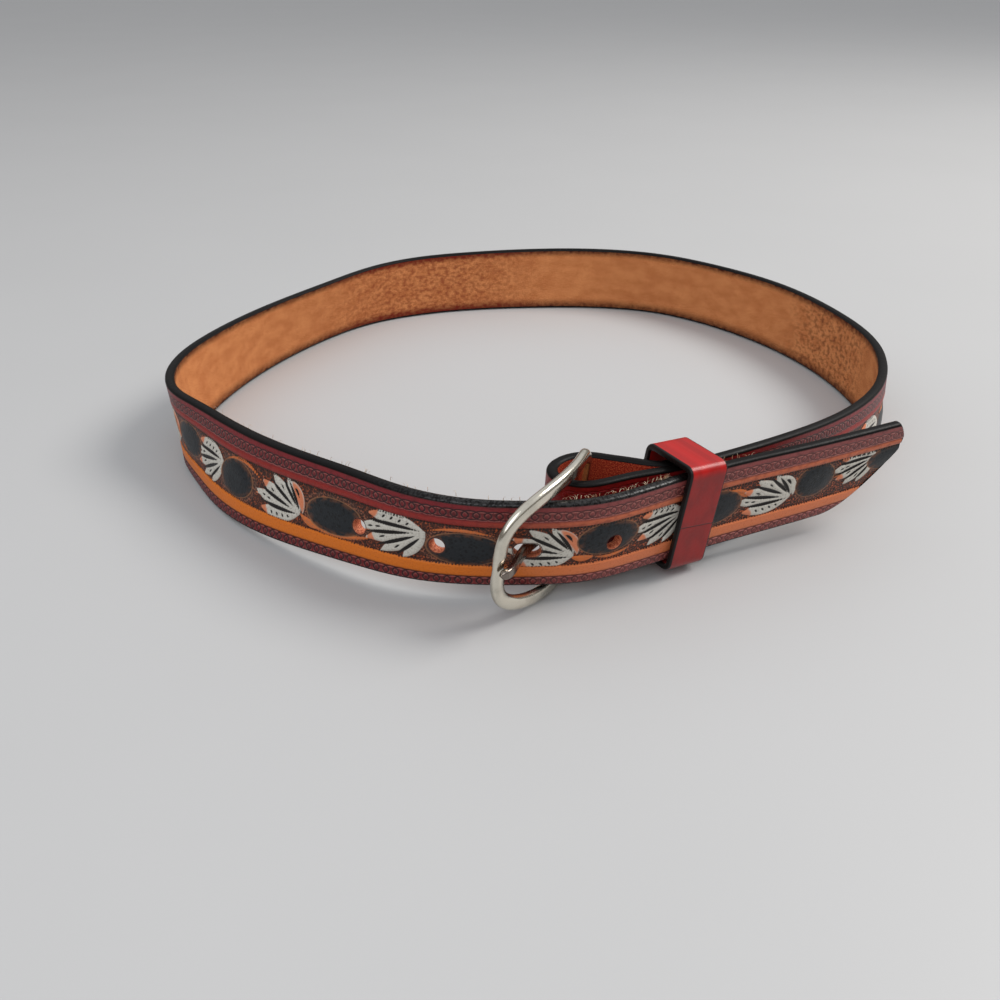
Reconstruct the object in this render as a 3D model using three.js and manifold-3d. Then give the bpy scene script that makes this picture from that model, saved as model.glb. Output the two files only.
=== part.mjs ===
// Tooled western belt, buckled and standing on its lower edge. Millimetres, +Z up.
// The buckle is at the front, towards -Y, and the tip of the strap points right, towards +X.
import * as THREE from 'three';
import { mergeVertices } from 'three/addons/utils/BufferGeometryUtils.js';
import Module from 'manifold-3d';

const wasm = await Module();
wasm.setup();

// Strap
const STRAP_WIDTH = 28.6;
const STRAP_THICKNESS = 3.2;
const EDGE_BEVEL = 0.7;
const LOOP_WIDTH = 262.8;
const LOOP_DEPTH = 263.3;
const TIP_LENGTH = 26.8;
const TIP_BLUNT = 3.6;
const TIP_CURVE = 1.9;
const TIP_SHOULDER_LENGTH = 4.1;
const TIP_SHOULDER_FALL = 6.2;
const TIP_SHOULDER_CURVE = 1.4;

// Punched holes, counted from the tip
const HOLE_COUNT = 5;
const HOLE_SPACING = 25.4;
const HOLE_DIAMETER = 4.8;
const FIRST_HOLE_FROM_TIP = 76.6;
const HOLE_HEIGHT = 13.1;
const BUCKLED_HOLE = 2;
const WORN_HOLE_LENGTH = 8;
const HOLE_CUT = 1.8 * STRAP_THICKNESS;

// Buckle frame: a D ring whose straight side is the bar
const FRAME_ROOM = 3.3;
const FRAME_REACH = 38.4;
const FRAME_BAND = 4.4;
const FRAME_DEPTH = 3;
const FRAME_CORNER = 3;
const FRAME_BOW = 3.4;
const FRAME_LEAN_DEG = 6.8;
const FRAME_DROP_DEG = 0.1;
const FRAME_STANDOFF = 10.7;
const FRAME_SQUARENESS = 3.6;
const FRAME_CORNER_RUN = 1.2;
const FRAME_SWING_MOST_DEG = 80;
const FRAME_SAG = 0.8;
const BAR_DIAMETER = 4.1;
const BAR_FROM_TIP = 104.5;

// Fold of the strap round the bar, and its flap
const FOLD_BORE = 13.2;
const FOLD_TURN_DEG = 22;
const FOLD_SHARES = [0, 0.25, 0.5, 0.78];
const FLAP_PAST_KEEPER = 3.6;

// Tongue, keeper and the rivet that holds the flap
const TONGUE_HEIGHT = 3.6;
const TONGUE_THICKNESS = 2.1;
const TONGUE_OVERHANG = 2.7;
const TONGUE_PLAY = 0.6;
const TONGUE_STANDOFF = 0.7;
const TONGUE_REST = 0.3;
const TONGUE_TAPER = 0.25;
const TONGUE_SLOT_WIDTH = 10.5;
const KEEPER_FROM_TIP = 75.2;
const KEEPER_WIDTH = 13;
const KEEPER_WALL = 2;
const KEEPER_CORNER = 2.1;
const KEEPER_TILT_DEG = 4;
const RIVET_FROM_TIP = 73;
const RIVET_DIAMETER = 2.7;
const RIVET_HEAD_DIAMETER = 6.2;
const RIVET_HEAD = 0.9;
const CLEARANCE = 0.3;

// Fineness of the faceted surfaces
const STATION_STEP = 4.1;
const FINE_STEP = 1.6;
const ROUND_SIDES = 12;
const SHANK_SIDES = 8;
const SHANK_STEPS = 18;
const FRAME_STEPS = 44;
const CORNER_STEPS = 4;
const SAMPLE_STEP = 0.5;

const DEG = Math.PI / 180;
const FRAME_HEIGHT = STRAP_WIDTH + FRAME_BAND + FRAME_ROOM;
const FRONT_LIFT = (FRAME_HEIGHT + FRAME_BAND) / 2 - STRAP_WIDTH / 2 - FRAME_SAG;
const LAYER_GAP = RIVET_HEAD + 3 * CLEARANCE;
const FOLD_RADIUS = FOLD_BORE / 2 + STRAP_THICKNESS;

// The upper edge of the strap's outer face, from the tip round the loop. across and deep are shares
// of LOOP_WIDTH and LOOP_DEPTH. flare is how far the lower edge stands out past the upper one, as a
// share of STRAP_WIDTH, and lift a share of FRONT_LIFT.
const ROUTE = [
  { across: 0.425, deep: 0.183, flare: -0.21, lift: 1.29 },
  { across: 0.357, deep: 0.153, flare: -0.155, lift: 1.18 },
  { across: 0.282, deep: 0.121, flare: -0.125, lift: 1.09 },
  { across: 0.198, deep: 0.086, flare: -0.1, lift: 1 },
  { across: 0.117, deep: 0.04, flare: -0.13, lift: 1 },
  { across: 0.053, deep: 0.008, flare: -0.155, lift: 1 },
  { across: -0.013, deep: 0, flare: -0.15, lift: 1 },
  { across: -0.081, deep: 0.006, flare: -0.11, lift: 0.98 },
  { across: -0.145, deep: 0.033, flare: 0.01, lift: 0.89 },
  { across: -0.204, deep: 0.078, flare: 0.14, lift: 0.73 },
  { across: -0.268, deep: 0.131, flare: 0.235, lift: 0.45 },
  { across: -0.337, deep: 0.194, flare: 0.29, lift: 0.14 },
  { across: -0.39, deep: 0.249, flare: 0.24, lift: 0 },
  { across: -0.435, deep: 0.295, flare: 0.11, lift: 0 },
  { across: -0.474, deep: 0.338, flare: -0.03, lift: 0 },
  { across: -0.494, deep: 0.384, flare: -0.11, lift: 0 },
  { across: -0.5, deep: 0.445, flare: -0.12, lift: 0 },
  { across: -0.476, deep: 0.551, flare: -0.02, lift: 0 },
  { across: -0.413, deep: 0.683, flare: 0.14, lift: 0 },
  { across: -0.338, deep: 0.8, flare: 0.22, lift: 0 },
  { across: -0.276, deep: 0.885, flare: 0.14, lift: 0 },
  { across: -0.208, deep: 0.939, flare: 0.03, lift: 0 },
  { across: -0.101, deep: 0.978, flare: -0.025, lift: 0 },
  { across: 0.028, deep: 1, flare: -0.1, lift: 0 },
  { across: 0.137, deep: 0.998, flare: -0.1, lift: 0 },
  { across: 0.248, deep: 0.964, flare: -0.06, lift: 0 },
  { across: 0.343, deep: 0.89, flare: -0.06, lift: 0 },
  { across: 0.425, deep: 0.789, flare: -0.1, lift: 0 },
  { across: 0.482, deep: 0.648, flare: -0.07, lift: 0 },
  { across: 0.5, deep: 0.52, flare: -0.045, lift: 0 },
  { across: 0.486, deep: 0.433, flare: 0.045, lift: 0 },
  { across: 0.444, deep: 0.336, flare: 0.07, lift: 0.07 },
  { across: 0.365, deep: 0.241, flare: 0.03, lift: 0.27 },
  { across: 0.287, deep: 0.172, flare: -0.06, lift: 0.66 },
];

// Gap between the run with the tip and the run behind it, as a share of FOLD_BORE over LAYER_GAP.
// along is a share of the way from the keeper to the bar.
const UNDER_RUN = [
  { along: -0.45, gap: 0.02 },
  { along: -0.2, gap: 0 },
  { along: 0, gap: 0 },
  { along: 0.3, gap: 0.1 },
  { along: 0.56, gap: 0.22 },
  { along: 0.84, gap: 0.27 },
];
const FOLD_GAP = 0.3;

// Gap between the run behind and the flap, as a share of FOLD_BORE over CLEARANCE. back is the way
// from the bar to the keeper as a share.
const FLAP = [
  { back: 0.38, gap: 0.95 },
  { back: 0.53, gap: 0.63 },
  { back: 0.67, gap: 0.33 },
  { back: 0.8, gap: 0.11 },
  { back: 0.91, gap: 0 },
  { back: 1.04, gap: 0 },
  { back: 1.18, gap: 0 },
];

// Second derivatives of a natural cubic spline
function bends(knots, values) {
  const count = values.length;
  const upper = new Array(count).fill(0);
  const bend = new Array(count).fill(0);
  for (let i = 1; i < count - 1; i++) {
    const before = knots[i] - knots[i - 1];
    const after = knots[i + 1] - knots[i];
    const jump = (values[i + 1] - values[i]) / after - (values[i] - values[i - 1]) / before;
    const pivot = 2 * (before + after) - before * upper[i - 1];
    upper[i] = after / pivot;
    bend[i] = (6 * jump - before * bend[i - 1]) / pivot;
  }
  for (let i = count - 2; i > 0; i--) bend[i] -= upper[i] * bend[i + 1];
  return bend;
}

// A smooth path through rows of [x, y, ...], read by its length in plan
class Path {
  constructor(rows) {
    this.knots = [0];
    for (let i = 1; i < rows.length; i++) {
      const step = Math.hypot(rows[i][0] - rows[i - 1][0], rows[i][1] - rows[i - 1][1]);
      this.knots.push(this.knots[i - 1] + step);
    }
    this.rows = rows;
    this.curves = rows[0].map((_, c) => bends(this.knots, rows.map((row) => row[c])));
    const count = Math.ceil(this.knots.at(-1) / SAMPLE_STEP);
    this.samples = [];
    let length = 0;
    for (let i = 0; i <= count; i++) {
      const t = (this.knots.at(-1) * i) / count;
      const at = this.raw(t);
      const last = this.samples.at(-1);
      if (last) length += Math.hypot(at[0] - last.at[0], at[1] - last.at[1]);
      this.samples.push({ t, at, length });
    }
    this.length = length;
  }

  raw(t) {
    let i = this.knots.findIndex((knot) => knot > t) - 1;
    if (i < 0) i = this.knots.length - 2;
    const step = this.knots[i + 1] - this.knots[i];
    const b = (t - this.knots[i]) / step;
    const a = 1 - b;
    return this.rows[i].map((low, c) => {
      const high = this.rows[i + 1][c];
      const curve = (a ** 3 - a) * this.curves[c][i] + (b ** 3 - b) * this.curves[c][i + 1];
      return a * low + b * high + (curve * step * step) / 6;
    });
  }

  // Length along the path at row number i
  lengthAtRow(i) {
    return this.samples.find((sample) => sample.t >= this.knots[i] - 1e-9).length;
  }

  at(length) {
    let high = this.samples.findIndex((sample) => sample.length >= length);
    if (high < 1) high = length <= 0 ? 1 : this.samples.length - 1;
    const from = this.samples[high - 1];
    const to = this.samples[high];
    const share = THREE.MathUtils.clamp((length - from.length) / (to.length - from.length), 0, 1);
    const mix = from.at.map((value, c) => value + (to.at[c] - value) * share);
    const near = this.raw(Math.max(from.t - SAMPLE_STEP, 0));
    const far = this.raw(Math.min(to.t + SAMPLE_STEP, this.knots.at(-1)));
    const along = new THREE.Vector3(far[0] - near[0], far[1] - near[1], 0).normalize();
    return { row: mix, along, out: new THREE.Vector3(-along.y, along.x, 0) };
  }
}

// Where the strap's outer face lies at one length: its upper edge, lean from top to bottom and lift
function station(path, length) {
  const { row, along, out } = path.at(length);
  return {
    top: new THREE.Vector3(row[0], row[1], 0),
    lean: new THREE.Vector3(row[2], row[3], 0),
    lift: Math.max(row[4], 0),
    along,
    out,
  };
}

// The point of a station that lies depth behind the outer face and height above the lower edge
function onStrap(place, depth, height) {
  return place.top
    .clone()
    .addScaledVector(place.lean, 1 - height / STRAP_WIDTH)
    .addScaledVector(place.out, -depth)
    .setZ(place.lift + height);
}

// Axes at a station, square to the leaning face: along the strap, up the face and out of it
function faceAxes(place) {
  const up = place.lean.clone().multiplyScalar(-1 / STRAP_WIDTH).setZ(1).normalize();
  const out = new THREE.Vector3().crossVectors(up, place.along).normalize();
  if (out.dot(place.out) < 0) out.negate();
  return { along: place.along.clone(), up, out };
}

function loopRows() {
  const plan = ROUTE.map((row) => [row.across * LOOP_WIDTH, row.deep * LOOP_DEPTH]);
  const outline = new Path(plan);
  return ROUTE.map((row, i) => {
    const { out } = outline.at(outline.lengthAtRow(i));
    const flare = row.flare * STRAP_WIDTH;
    return [...plan[i], out.x * flare, out.y * flare, row.lift * FRONT_LIFT];
  });
}

const loop = new Path(loopRows());
const KEEPER_TO_BAR = BAR_FROM_TIP - KEEPER_FROM_TIP;

// A row that lies a distance behind the outer face at one length of a path
function rowBehind(path, length, depth) {
  const place = station(path, length);
  const at = place.top.clone().addScaledVector(place.out, -depth);
  return [at.x, at.y, place.lean.x, place.lean.y, place.lift];
}

const underGap = (share) => LAYER_GAP + share * FOLD_BORE;
const barPlace = station(loop, BAR_FROM_TIP);
const barDepth = STRAP_THICKNESS + underGap(FOLD_GAP) + FOLD_RADIUS;
const barTop = barPlace.top.clone().addScaledVector(barPlace.out, -barDepth);
const UPRIGHT = new THREE.Vector3(0, 0, 1);
const foldOut = barPlace.out.clone().applyAxisAngle(UPRIGHT, -FOLD_TURN_DEG * DEG);
const foldAlong = barPlace.along.clone().applyAxisAngle(UPRIGHT, -FOLD_TURN_DEG * DEG);

// The strap's outer face round the bar, from the run behind to the flap
const foldRows = FOLD_SHARES.map((share) => {
  const turn = Math.PI * share;
  const at = barTop
    .clone()
    .addScaledVector(foldOut, FOLD_RADIUS * Math.cos(turn))
    .addScaledVector(foldAlong, FOLD_RADIUS * Math.sin(turn));
  return [at.x, at.y, barPlace.lean.x, barPlace.lean.y, barPlace.lift];
});

const underRows = UNDER_RUN.map((row) =>
  rowBehind(loop, KEEPER_FROM_TIP + row.along * KEEPER_TO_BAR, STRAP_THICKNESS + underGap(row.gap)),
);
const runToBar = new Path([...loopRows(), ...underRows, foldRows[0]]);
const flapRows = FLAP.map((row) => {
  const depth = 2 * STRAP_THICKNESS + CLEARANCE + row.gap * FOLD_BORE;
  return rowBehind(runToBar, runToBar.length - row.back * KEEPER_TO_BAR, depth);
});
const flapLength = KEEPER_TO_BAR + KEEPER_WIDTH / 2 + FLAP_PAST_KEEPER;
flapRows.push(rowBehind(runToBar, runToBar.length - flapLength, 2 * STRAP_THICKNESS + CLEARANCE));

const strapPath = new Path([...loopRows(), ...underRows, ...foldRows, ...flapRows]);
const foldStart = strapPath.lengthAtRow(ROUTE.length + UNDER_RUN.length);
const foldEnd = strapPath.lengthAtRow(ROUTE.length + UNDER_RUN.length + foldRows.length - 1);

function geometryOf(points, faces) {
  const geometry = new THREE.BufferGeometry();
  const flat = points.flatMap((point) => [point.x, point.y, point.z]);
  geometry.setAttribute('position', new THREE.Float32BufferAttribute(flat, 3));
  geometry.setIndex(faces.flat());
  return geometry;
}

// Joins rings of equal count into one skin, with flat ends unless the last ring meets the first
function skin(rings, closed = false) {
  const count = rings[0].length;
  const faces = [];
  const last = closed ? rings.length : rings.length - 1;
  for (let r = 0; r < last; r++) {
    const here = r * count;
    const next = ((r + 1) % rings.length) * count;
    for (let i = 0; i < count; i++) {
      const j = (i + 1) % count;
      faces.push([here + i, here + j, next + j], [here + i, next + j, next + i]);
    }
  }
  if (!closed) {
    const end = (rings.length - 1) * count;
    for (let i = 1; i < count - 1; i++) {
      faces.push([0, i + 1, i], [end, end + i, end + i + 1]);
    }
  }
  return geometryOf(rings.flat(), faces);
}

function solid(geometry) {
  const bare = geometry.clone();
  bare.deleteAttribute('normal');
  bare.deleteAttribute('uv');
  const merged = mergeVertices(bare, 1e-4);
  const mesh = new wasm.Mesh({
    numProp: 3,
    vertProperties: new Float32Array(merged.attributes.position.array),
    triVerts: new Uint32Array(merged.index.array),
  });
  return new wasm.Manifold(mesh);
}

function backToGeometry(manifold) {
  const mesh = manifold.getMesh();
  const geometry = new THREE.BufferGeometry();
  const corners = new Float32Array(mesh.vertProperties);
  geometry.setAttribute('position', new THREE.BufferAttribute(corners, 3));
  geometry.setIndex(new THREE.BufferAttribute(new Uint32Array(mesh.triVerts), 1));
  return geometry;
}

// Turns a geometry whose Z is to point out of a face, and moves it there
function placed(geometry, at, axes) {
  const turn = new THREE.Matrix4().makeBasis(
    axes.along.clone(),
    new THREE.Vector3().crossVectors(axes.out, axes.along),
    axes.out,
  );
  return geometry.applyMatrix4(turn.setPosition(at));
}

function post(diameter, length) {
  const radius = diameter / 2;
  return new THREE.CylinderGeometry(radius, radius, length, ROUND_SIDES).rotateX(Math.PI / 2);
}

// Fall of the rounded upper corner of the tip below the straight upper edge
function tipFall(fromTip) {
  const share = Math.max(1 - fromTip / TIP_SHOULDER_LENGTH, 0);
  return TIP_SHOULDER_FALL * share ** TIP_SHOULDER_CURVE;
}

// Height of the slanted lower side of the tip above the straight lower edge
function tipRise(fromTip) {
  const share = Math.max(1 - fromTip / TIP_LENGTH, 0);
  return share ** TIP_CURVE * (STRAP_WIDTH - TIP_SHOULDER_FALL - TIP_BLUNT);
}

function strapRing(length) {
  const place = station(strapPath, length);
  const low = tipRise(length);
  const high = STRAP_WIDTH - tipFall(length);
  const t = STRAP_THICKNESS;
  const outline = [
    [0, low + EDGE_BEVEL],
    [EDGE_BEVEL, low],
    [t - EDGE_BEVEL, low],
    [t, low + EDGE_BEVEL],
    [t, high - EDGE_BEVEL],
    [t - EDGE_BEVEL, high],
    [EDGE_BEVEL, high],
    [0, high - EDGE_BEVEL],
  ];
  return outline.map(([depth, height]) => onStrap(place, depth, height)).reverse();
}

function strapLengths() {
  const lengths = [0];
  while (lengths.at(-1) < strapPath.length) {
    const here = lengths.at(-1);
    const fine = here < TIP_LENGTH || here > foldStart - FINE_STEP;
    lengths.push(here + (fine ? FINE_STEP : STATION_STEP));
  }
  lengths[lengths.length - 1] = strapPath.length;
  return lengths;
}

function holeCuts() {
  const cuts = [];
  for (let i = 0; i < HOLE_COUNT; i++) {
    const place = station(strapPath, FIRST_HOLE_FROM_TIP + i * HOLE_SPACING);
    const middle = onStrap(place, STRAP_THICKNESS / 2, HOLE_HEIGHT);
    const worn = i === BUCKLED_HOLE;
    const cut = worn ? wornHole() : post(HOLE_DIAMETER, HOLE_CUT);
    cuts.push(placed(cut, middle, faceAxes(place)));
  }
  return cuts;
}

// A hole drawn out along the strap by the tongue
function wornHole() {
  const radius = TONGUE_HEIGHT / 2 + TONGUE_PLAY;
  const half = WORN_HOLE_LENGTH / 2 - radius;
  const shape = new THREE.Shape();
  shape.absarc(half, 0, radius, -Math.PI / 2, Math.PI / 2);
  shape.absarc(-half, 0, radius, Math.PI / 2, (3 * Math.PI) / 2);
  const cut = new THREE.ExtrudeGeometry(shape, {
    depth: HOLE_CUT,
    bevelEnabled: false,
    curveSegments: ROUND_SIDES / 2,
  });
  return cut.translate(0, 0, -HOLE_CUT / 2);
}

const barMiddle = barTop
  .clone()
  .addScaledVector(barPlace.lean, 0.5)
  .setZ(barPlace.lift + STRAP_WIDTH / 2);
const tonguePlace = station(strapPath, FIRST_HOLE_FROM_TIP + BUCKLED_HOLE * HOLE_SPACING);
const tongueHole = onStrap(tonguePlace, STRAP_THICKNESS / 2, HOLE_HEIGHT);

// The slot in the fold that lets the tongue out
function tongueSlot() {
  const towards = tongueHole.clone().sub(barMiddle).setZ(0).normalize();
  const reach = FOLD_RADIUS + 2 * STRAP_THICKNESS;
  const height = TONGUE_HEIGHT + 2 * TONGUE_PLAY;
  const slot = new THREE.BoxGeometry(reach, TONGUE_SLOT_WIDTH, height).translate(reach / 2, 0, 0);
  const side = new THREE.Vector3(-towards.y, towards.x, 0);
  const turn = new THREE.Matrix4().makeBasis(towards, side, UPRIGHT);
  return slot.applyMatrix4(turn.setPosition(barMiddle.clone().setZ(tongueHole.z)));
}

const keeperPlace = station(loop, KEEPER_FROM_TIP);
const rivetPlace = station(loop, RIVET_FROM_TIP);
const rivetAxes = faceAxes(rivetPlace);
const rivetFace = onStrap(rivetPlace, 0, STRAP_WIDTH / 2);

function strap() {
  const rings = strapLengths().map(strapRing);
  let body = solid(skin(rings));
  const rivetHole = post(RIVET_DIAMETER + 2 * CLEARANCE, 3 * STRAP_THICKNESS);
  const rivetMiddle = rivetFace
    .clone()
    .addScaledVector(rivetAxes.out, -(STRAP_THICKNESS + LAYER_GAP / 2 + 1.5 * STRAP_THICKNESS));
  const cuts = [...holeCuts(), tongueSlot(), placed(rivetHole, rivetMiddle, rivetAxes)];
  for (const cut of cuts) body = body.subtract(solid(cut));
  return backToGeometry(body);
}

// The frame swings round the bar until its front stands FRAME_STANDOFF before the strap
function frameSwing() {
  const frontAt = (angle) => {
    const way = barPlace.along.clone().applyAxisAngle(UPRIGHT, angle);
    return barMiddle.clone().addScaledVector(way, FRAME_REACH).setZ(0);
  };
  const standoff = (angle) => {
    const front = frontAt(angle);
    let nearest = Infinity;
    let out = 0;
    for (let s = BAR_FROM_TIP; s < BAR_FROM_TIP + 2 * FRAME_REACH; s += 1) {
      const face = onStrap(station(loop, s), 0, STRAP_WIDTH / 2).setZ(0);
      const gap = front.distanceTo(face);
      if (gap < nearest) {
        nearest = gap;
        out = front.clone().sub(face).dot(station(loop, s).out);
      }
    }
    return out;
  };
  let low = 0;
  let high = FRAME_SWING_MOST_DEG * DEG;
  for (let i = 0; i < 24; i++) {
    const middle = (low + high) / 2;
    if (standoff(middle) < FRAME_STANDOFF) low = middle;
    else high = middle;
  }
  return (low + high) / 2;
}

// Buckle frame axes: from the bar to the front, and out of the frame
const frameWay = barPlace.along.clone().applyAxisAngle(UPRIGHT, frameSwing());
const frameOut = new THREE.Vector3(-frameWay.y, frameWay.x, 0);
const frameLean = FRAME_LEAN_DEG * DEG;
const frameDrop = FRAME_DROP_DEG * DEG;

// Height of the frame's centre line against the middle of the bar
const frameRise = (reach, rise) => rise * Math.cos(frameLean) - reach * Math.sin(frameDrop);
const frameLow = Math.min(...frameLine().map(([reach, rise]) => frameRise(reach, rise)));
const frameMiddle = FRAME_BAND / 2 - frameLow;

// A point of the frame from its reach from the bar and its rise above the middle
function onFrame(reach, rise, outwards = 0) {
  const share = reach / FRAME_REACH;
  const bow = 4 * FRAME_BOW * share * (1 - share);
  return barMiddle
    .clone()
    .addScaledVector(frameWay, reach)
    .addScaledVector(frameOut, bow + rise * Math.sin(frameLean) + outwards)
    .setZ(frameMiddle + frameRise(reach, rise));
}

// Centre line of the frame: the D, its corners and the bar
function frameLine() {
  const half = FRAME_HEIGHT / 2;
  const power = 2 / FRAME_SQUARENESS;
  const line = [];
  for (let i = 0; i <= FRAME_STEPS; i++) {
    const angle = Math.PI / 2 - (Math.PI * i) / FRAME_STEPS;
    const sine = Math.sin(angle);
    const reach = FRAME_REACH * Math.cos(angle) ** power;
    const rise = half * Math.sign(sine) * Math.abs(sine) ** power;
    if (reach > FRAME_CORNER * FRAME_CORNER_RUN) line.push([reach, rise, 0]);
  }
  for (const side of [-1, 1]) {
    for (let i = 0; i <= CORNER_STEPS; i++) {
      const turn = ((side < 0 ? i : CORNER_STEPS - i) * Math.PI) / (2 * CORNER_STEPS);
      const reach = FRAME_CORNER * (1 - Math.sin(turn));
      const rise = side * (half - FRAME_CORNER * (1 - Math.cos(turn)));
      line.push([reach, rise, turn / (Math.PI / 2)]);
    }
  }
  return line;
}

function buckleFrame() {
  const line = frameLine();
  const centres = line.map(([reach, rise]) => onFrame(reach, rise));
  const rings = centres.map((centre, i) => {
    const before = centres[(i - 1 + centres.length) % centres.length];
    const after = centres[(i + 1) % centres.length];
    const along = after.clone().sub(before).normalize();
    const side = new THREE.Vector3().crossVectors(frameOut, along).normalize();
    const out = new THREE.Vector3().crossVectors(along, side);
    const barShare = line[i][2];
    const wide = THREE.MathUtils.lerp(FRAME_BAND, BAR_DIAMETER, barShare) / 2;
    const deep = THREE.MathUtils.lerp(FRAME_DEPTH, BAR_DIAMETER, barShare) / 2;
    const ring = [];
    for (let k = 0; k < ROUND_SIDES; k++) {
      const turn = (2 * Math.PI * (k + 0.5)) / ROUND_SIDES;
      const point = centre.clone().addScaledVector(side, wide * Math.cos(turn));
      ring.push(point.addScaledVector(out, deep * Math.sin(turn)));
    }
    return ring;
  });
  return backToGeometry(solid(skin(rings, true)));
}

// The tongue: an eye round the bar, and a shank through the hole to the front of the frame
function buckleTongue() {
  const barAxis = onFrame(0, 1).sub(onFrame(0, 0)).normalize();
  const eyeBore = BAR_DIAMETER / 2 + CLEARANCE;
  const eyeOuter = eyeBore + TONGUE_THICKNESS;
  const shape = new THREE.Shape().absarc(0, 0, eyeOuter, 0, 2 * Math.PI);
  shape.holes.push(new THREE.Path().absarc(0, 0, eyeBore, 0, 2 * Math.PI));
  const eye = new THREE.ExtrudeGeometry(shape, {
    depth: TONGUE_HEIGHT,
    bevelEnabled: false,
    curveSegments: SHANK_SIDES,
  });
  eye.translate(0, 0, -TONGUE_HEIGHT / 2);
  const rise = (tongueHole.z - frameMiddle) / Math.cos(frameLean);
  const eyeAt = onFrame(0, rise);
  const side = new THREE.Vector3().crossVectors(barAxis, frameWay).normalize();
  const front = new THREE.Vector3().crossVectors(side, barAxis);
  eye.applyMatrix4(new THREE.Matrix4().makeBasis(front, side, barAxis).setPosition(eyeAt));

  const standoff = (FRAME_DEPTH + TONGUE_THICKNESS) / 2 + TONGUE_STANDOFF;
  const rest = onFrame(FRAME_REACH, rise * TONGUE_REST, standoff);
  const endWay = onFrame(FRAME_REACH, 0).sub(onFrame(FRAME_REACH * 0.9, 0)).setZ(0).normalize();
  const towards = tongueHole.clone().sub(eyeAt).setZ(0).normalize();
  const start = eyeAt.clone().addScaledVector(towards, (eyeBore + eyeOuter) / 2);
  const end = rest.clone().addScaledVector(endWay, TONGUE_OVERHANG);
  const line = new THREE.CatmullRomCurve3([start, tongueHole, rest, end], false, 'centripetal');
  const corner = Math.cos(Math.PI / SHANK_SIDES);
  const rings = [];
  for (let i = 0; i <= SHANK_STEPS; i++) {
    const share = i / SHANK_STEPS;
    const along = line.getTangentAt(share);
    const across = new THREE.Vector3(-along.y, along.x, 0).normalize();
    const up = new THREE.Vector3().crossVectors(along, across).normalize();
    const taper = 1 - TONGUE_TAPER * share ** 3;
    const ring = [];
    for (let k = 0; k < SHANK_SIDES; k++) {
      const turn = (2 * Math.PI * (k + 0.5)) / SHANK_SIDES;
      const wide = (TONGUE_THICKNESS * Math.cos(turn)) / (2 * corner);
      const tall = (TONGUE_HEIGHT * taper * Math.sin(turn)) / (2 * corner);
      ring.push(line.getPointAt(share).addScaledVector(across, wide).addScaledVector(up, tall));
    }
    rings.push(ring);
  }
  return backToGeometry(solid(eye).add(solid(skin(rings))));
}

// Depth of the keeper's opening before and behind the strap's face
function keeperDepths() {
  let front = 0;
  let back = 0;
  const reach = KEEPER_WIDTH / 2 + 1;
  const measure = (place) => {
    for (const depth of [0, STRAP_THICKNESS]) {
      for (const height of [0, STRAP_WIDTH]) {
        const point = onStrap(place, depth, height);
        const offset = onStrap(keeperPlace, 0, height).sub(point);
        if (Math.abs(offset.dot(keeperPlace.along)) > reach) continue;
        const behind = offset.dot(keeperPlace.out);
        front = Math.max(front, -behind);
        back = Math.max(back, behind);
      }
    }
  };
  for (let s = KEEPER_FROM_TIP - 2 * reach; s < KEEPER_FROM_TIP + 2 * reach; s += 1) {
    measure(station(strapPath, s));
  }
  for (let s = foldEnd; s < strapPath.length; s += 1) measure(station(strapPath, s));
  return { front: front + CLEARANCE, back: back + RIVET_HEAD + 2 * CLEARANCE };
}

function roundedOutline(low, high, corner) {
  const centres = [
    [high[0] - corner, high[1] - corner, 0],
    [low[0] + corner, high[1] - corner, 1],
    [low[0] + corner, low[1] + corner, 2],
    [high[0] - corner, low[1] + corner, 3],
  ];
  return centres.flatMap(([x, y, quarter]) =>
    [0, 1, 2, 3].map((step) => {
      const turn = (quarter + step / 3) * (Math.PI / 2);
      return [x + corner * Math.cos(turn), y + corner * Math.sin(turn)];
    }),
  );
}

function keeperLoop() {
  const { front, back } = keeperDepths();
  const tilt = KEEPER_TILT_DEG * DEG;
  const half = STRAP_WIDTH / 2 + (KEEPER_WIDTH / 2) * Math.tan(tilt) + 2 * CLEARANCE;
  const inner = roundedOutline([-back, -half], [front, half], CLEARANCE);
  const wall = KEEPER_WALL;
  const low = [-back - wall, -half - wall];
  const outer = roundedOutline(low, [front + wall, half + wall], KEEPER_CORNER);
  const at = ([forward, rise], along) => {
    const turned = along * Math.cos(tilt) - rise * Math.sin(tilt);
    const raised = rise * Math.cos(tilt) + along * Math.sin(tilt);
    const point = onStrap(keeperPlace, -forward, STRAP_WIDTH / 2 + raised);
    return point.addScaledVector(keeperPlace.along, turned);
  };
  const width = KEEPER_WIDTH / 2;
  const rings = [
    outer.map((point) => at(point, -width)),
    outer.map((point) => at(point, width)),
    inner.map((point) => at(point, width)),
    inner.map((point) => at(point, -width)),
  ];
  return skin(rings, true);
}

function flapRivet() {
  const front = STRAP_THICKNESS + LAYER_GAP / 2;
  const stack = 2 * STRAP_THICKNESS + CLEARANCE;
  const length = stack + 2 * CLEARANCE + 2 * RIVET_HEAD;
  const back = front + length - RIVET_HEAD;
  const head = () => post(RIVET_HEAD_DIAMETER, RIVET_HEAD);
  const pieces = [
    [post(RIVET_DIAMETER, length - RIVET_HEAD), front + (length - RIVET_HEAD) / 2],
    [head(), front],
    [head(), back],
  ];
  let body = null;
  for (const [geometry, depth] of pieces) {
    const at = rivetFace.clone().addScaledVector(rivetAxes.out, -depth);
    const piece = solid(placed(geometry, at, rivetAxes));
    body = body ? body.add(piece) : piece;
  }
  return backToGeometry(body);
}

function finish(color, roughness, metalness) {
  return new THREE.MeshStandardMaterial({ color, roughness, metalness });
}

function mesh(name, geometry, material) {
  const piece = new THREE.Mesh(geometry, material);
  piece.name = name;
  return piece;
}

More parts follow.
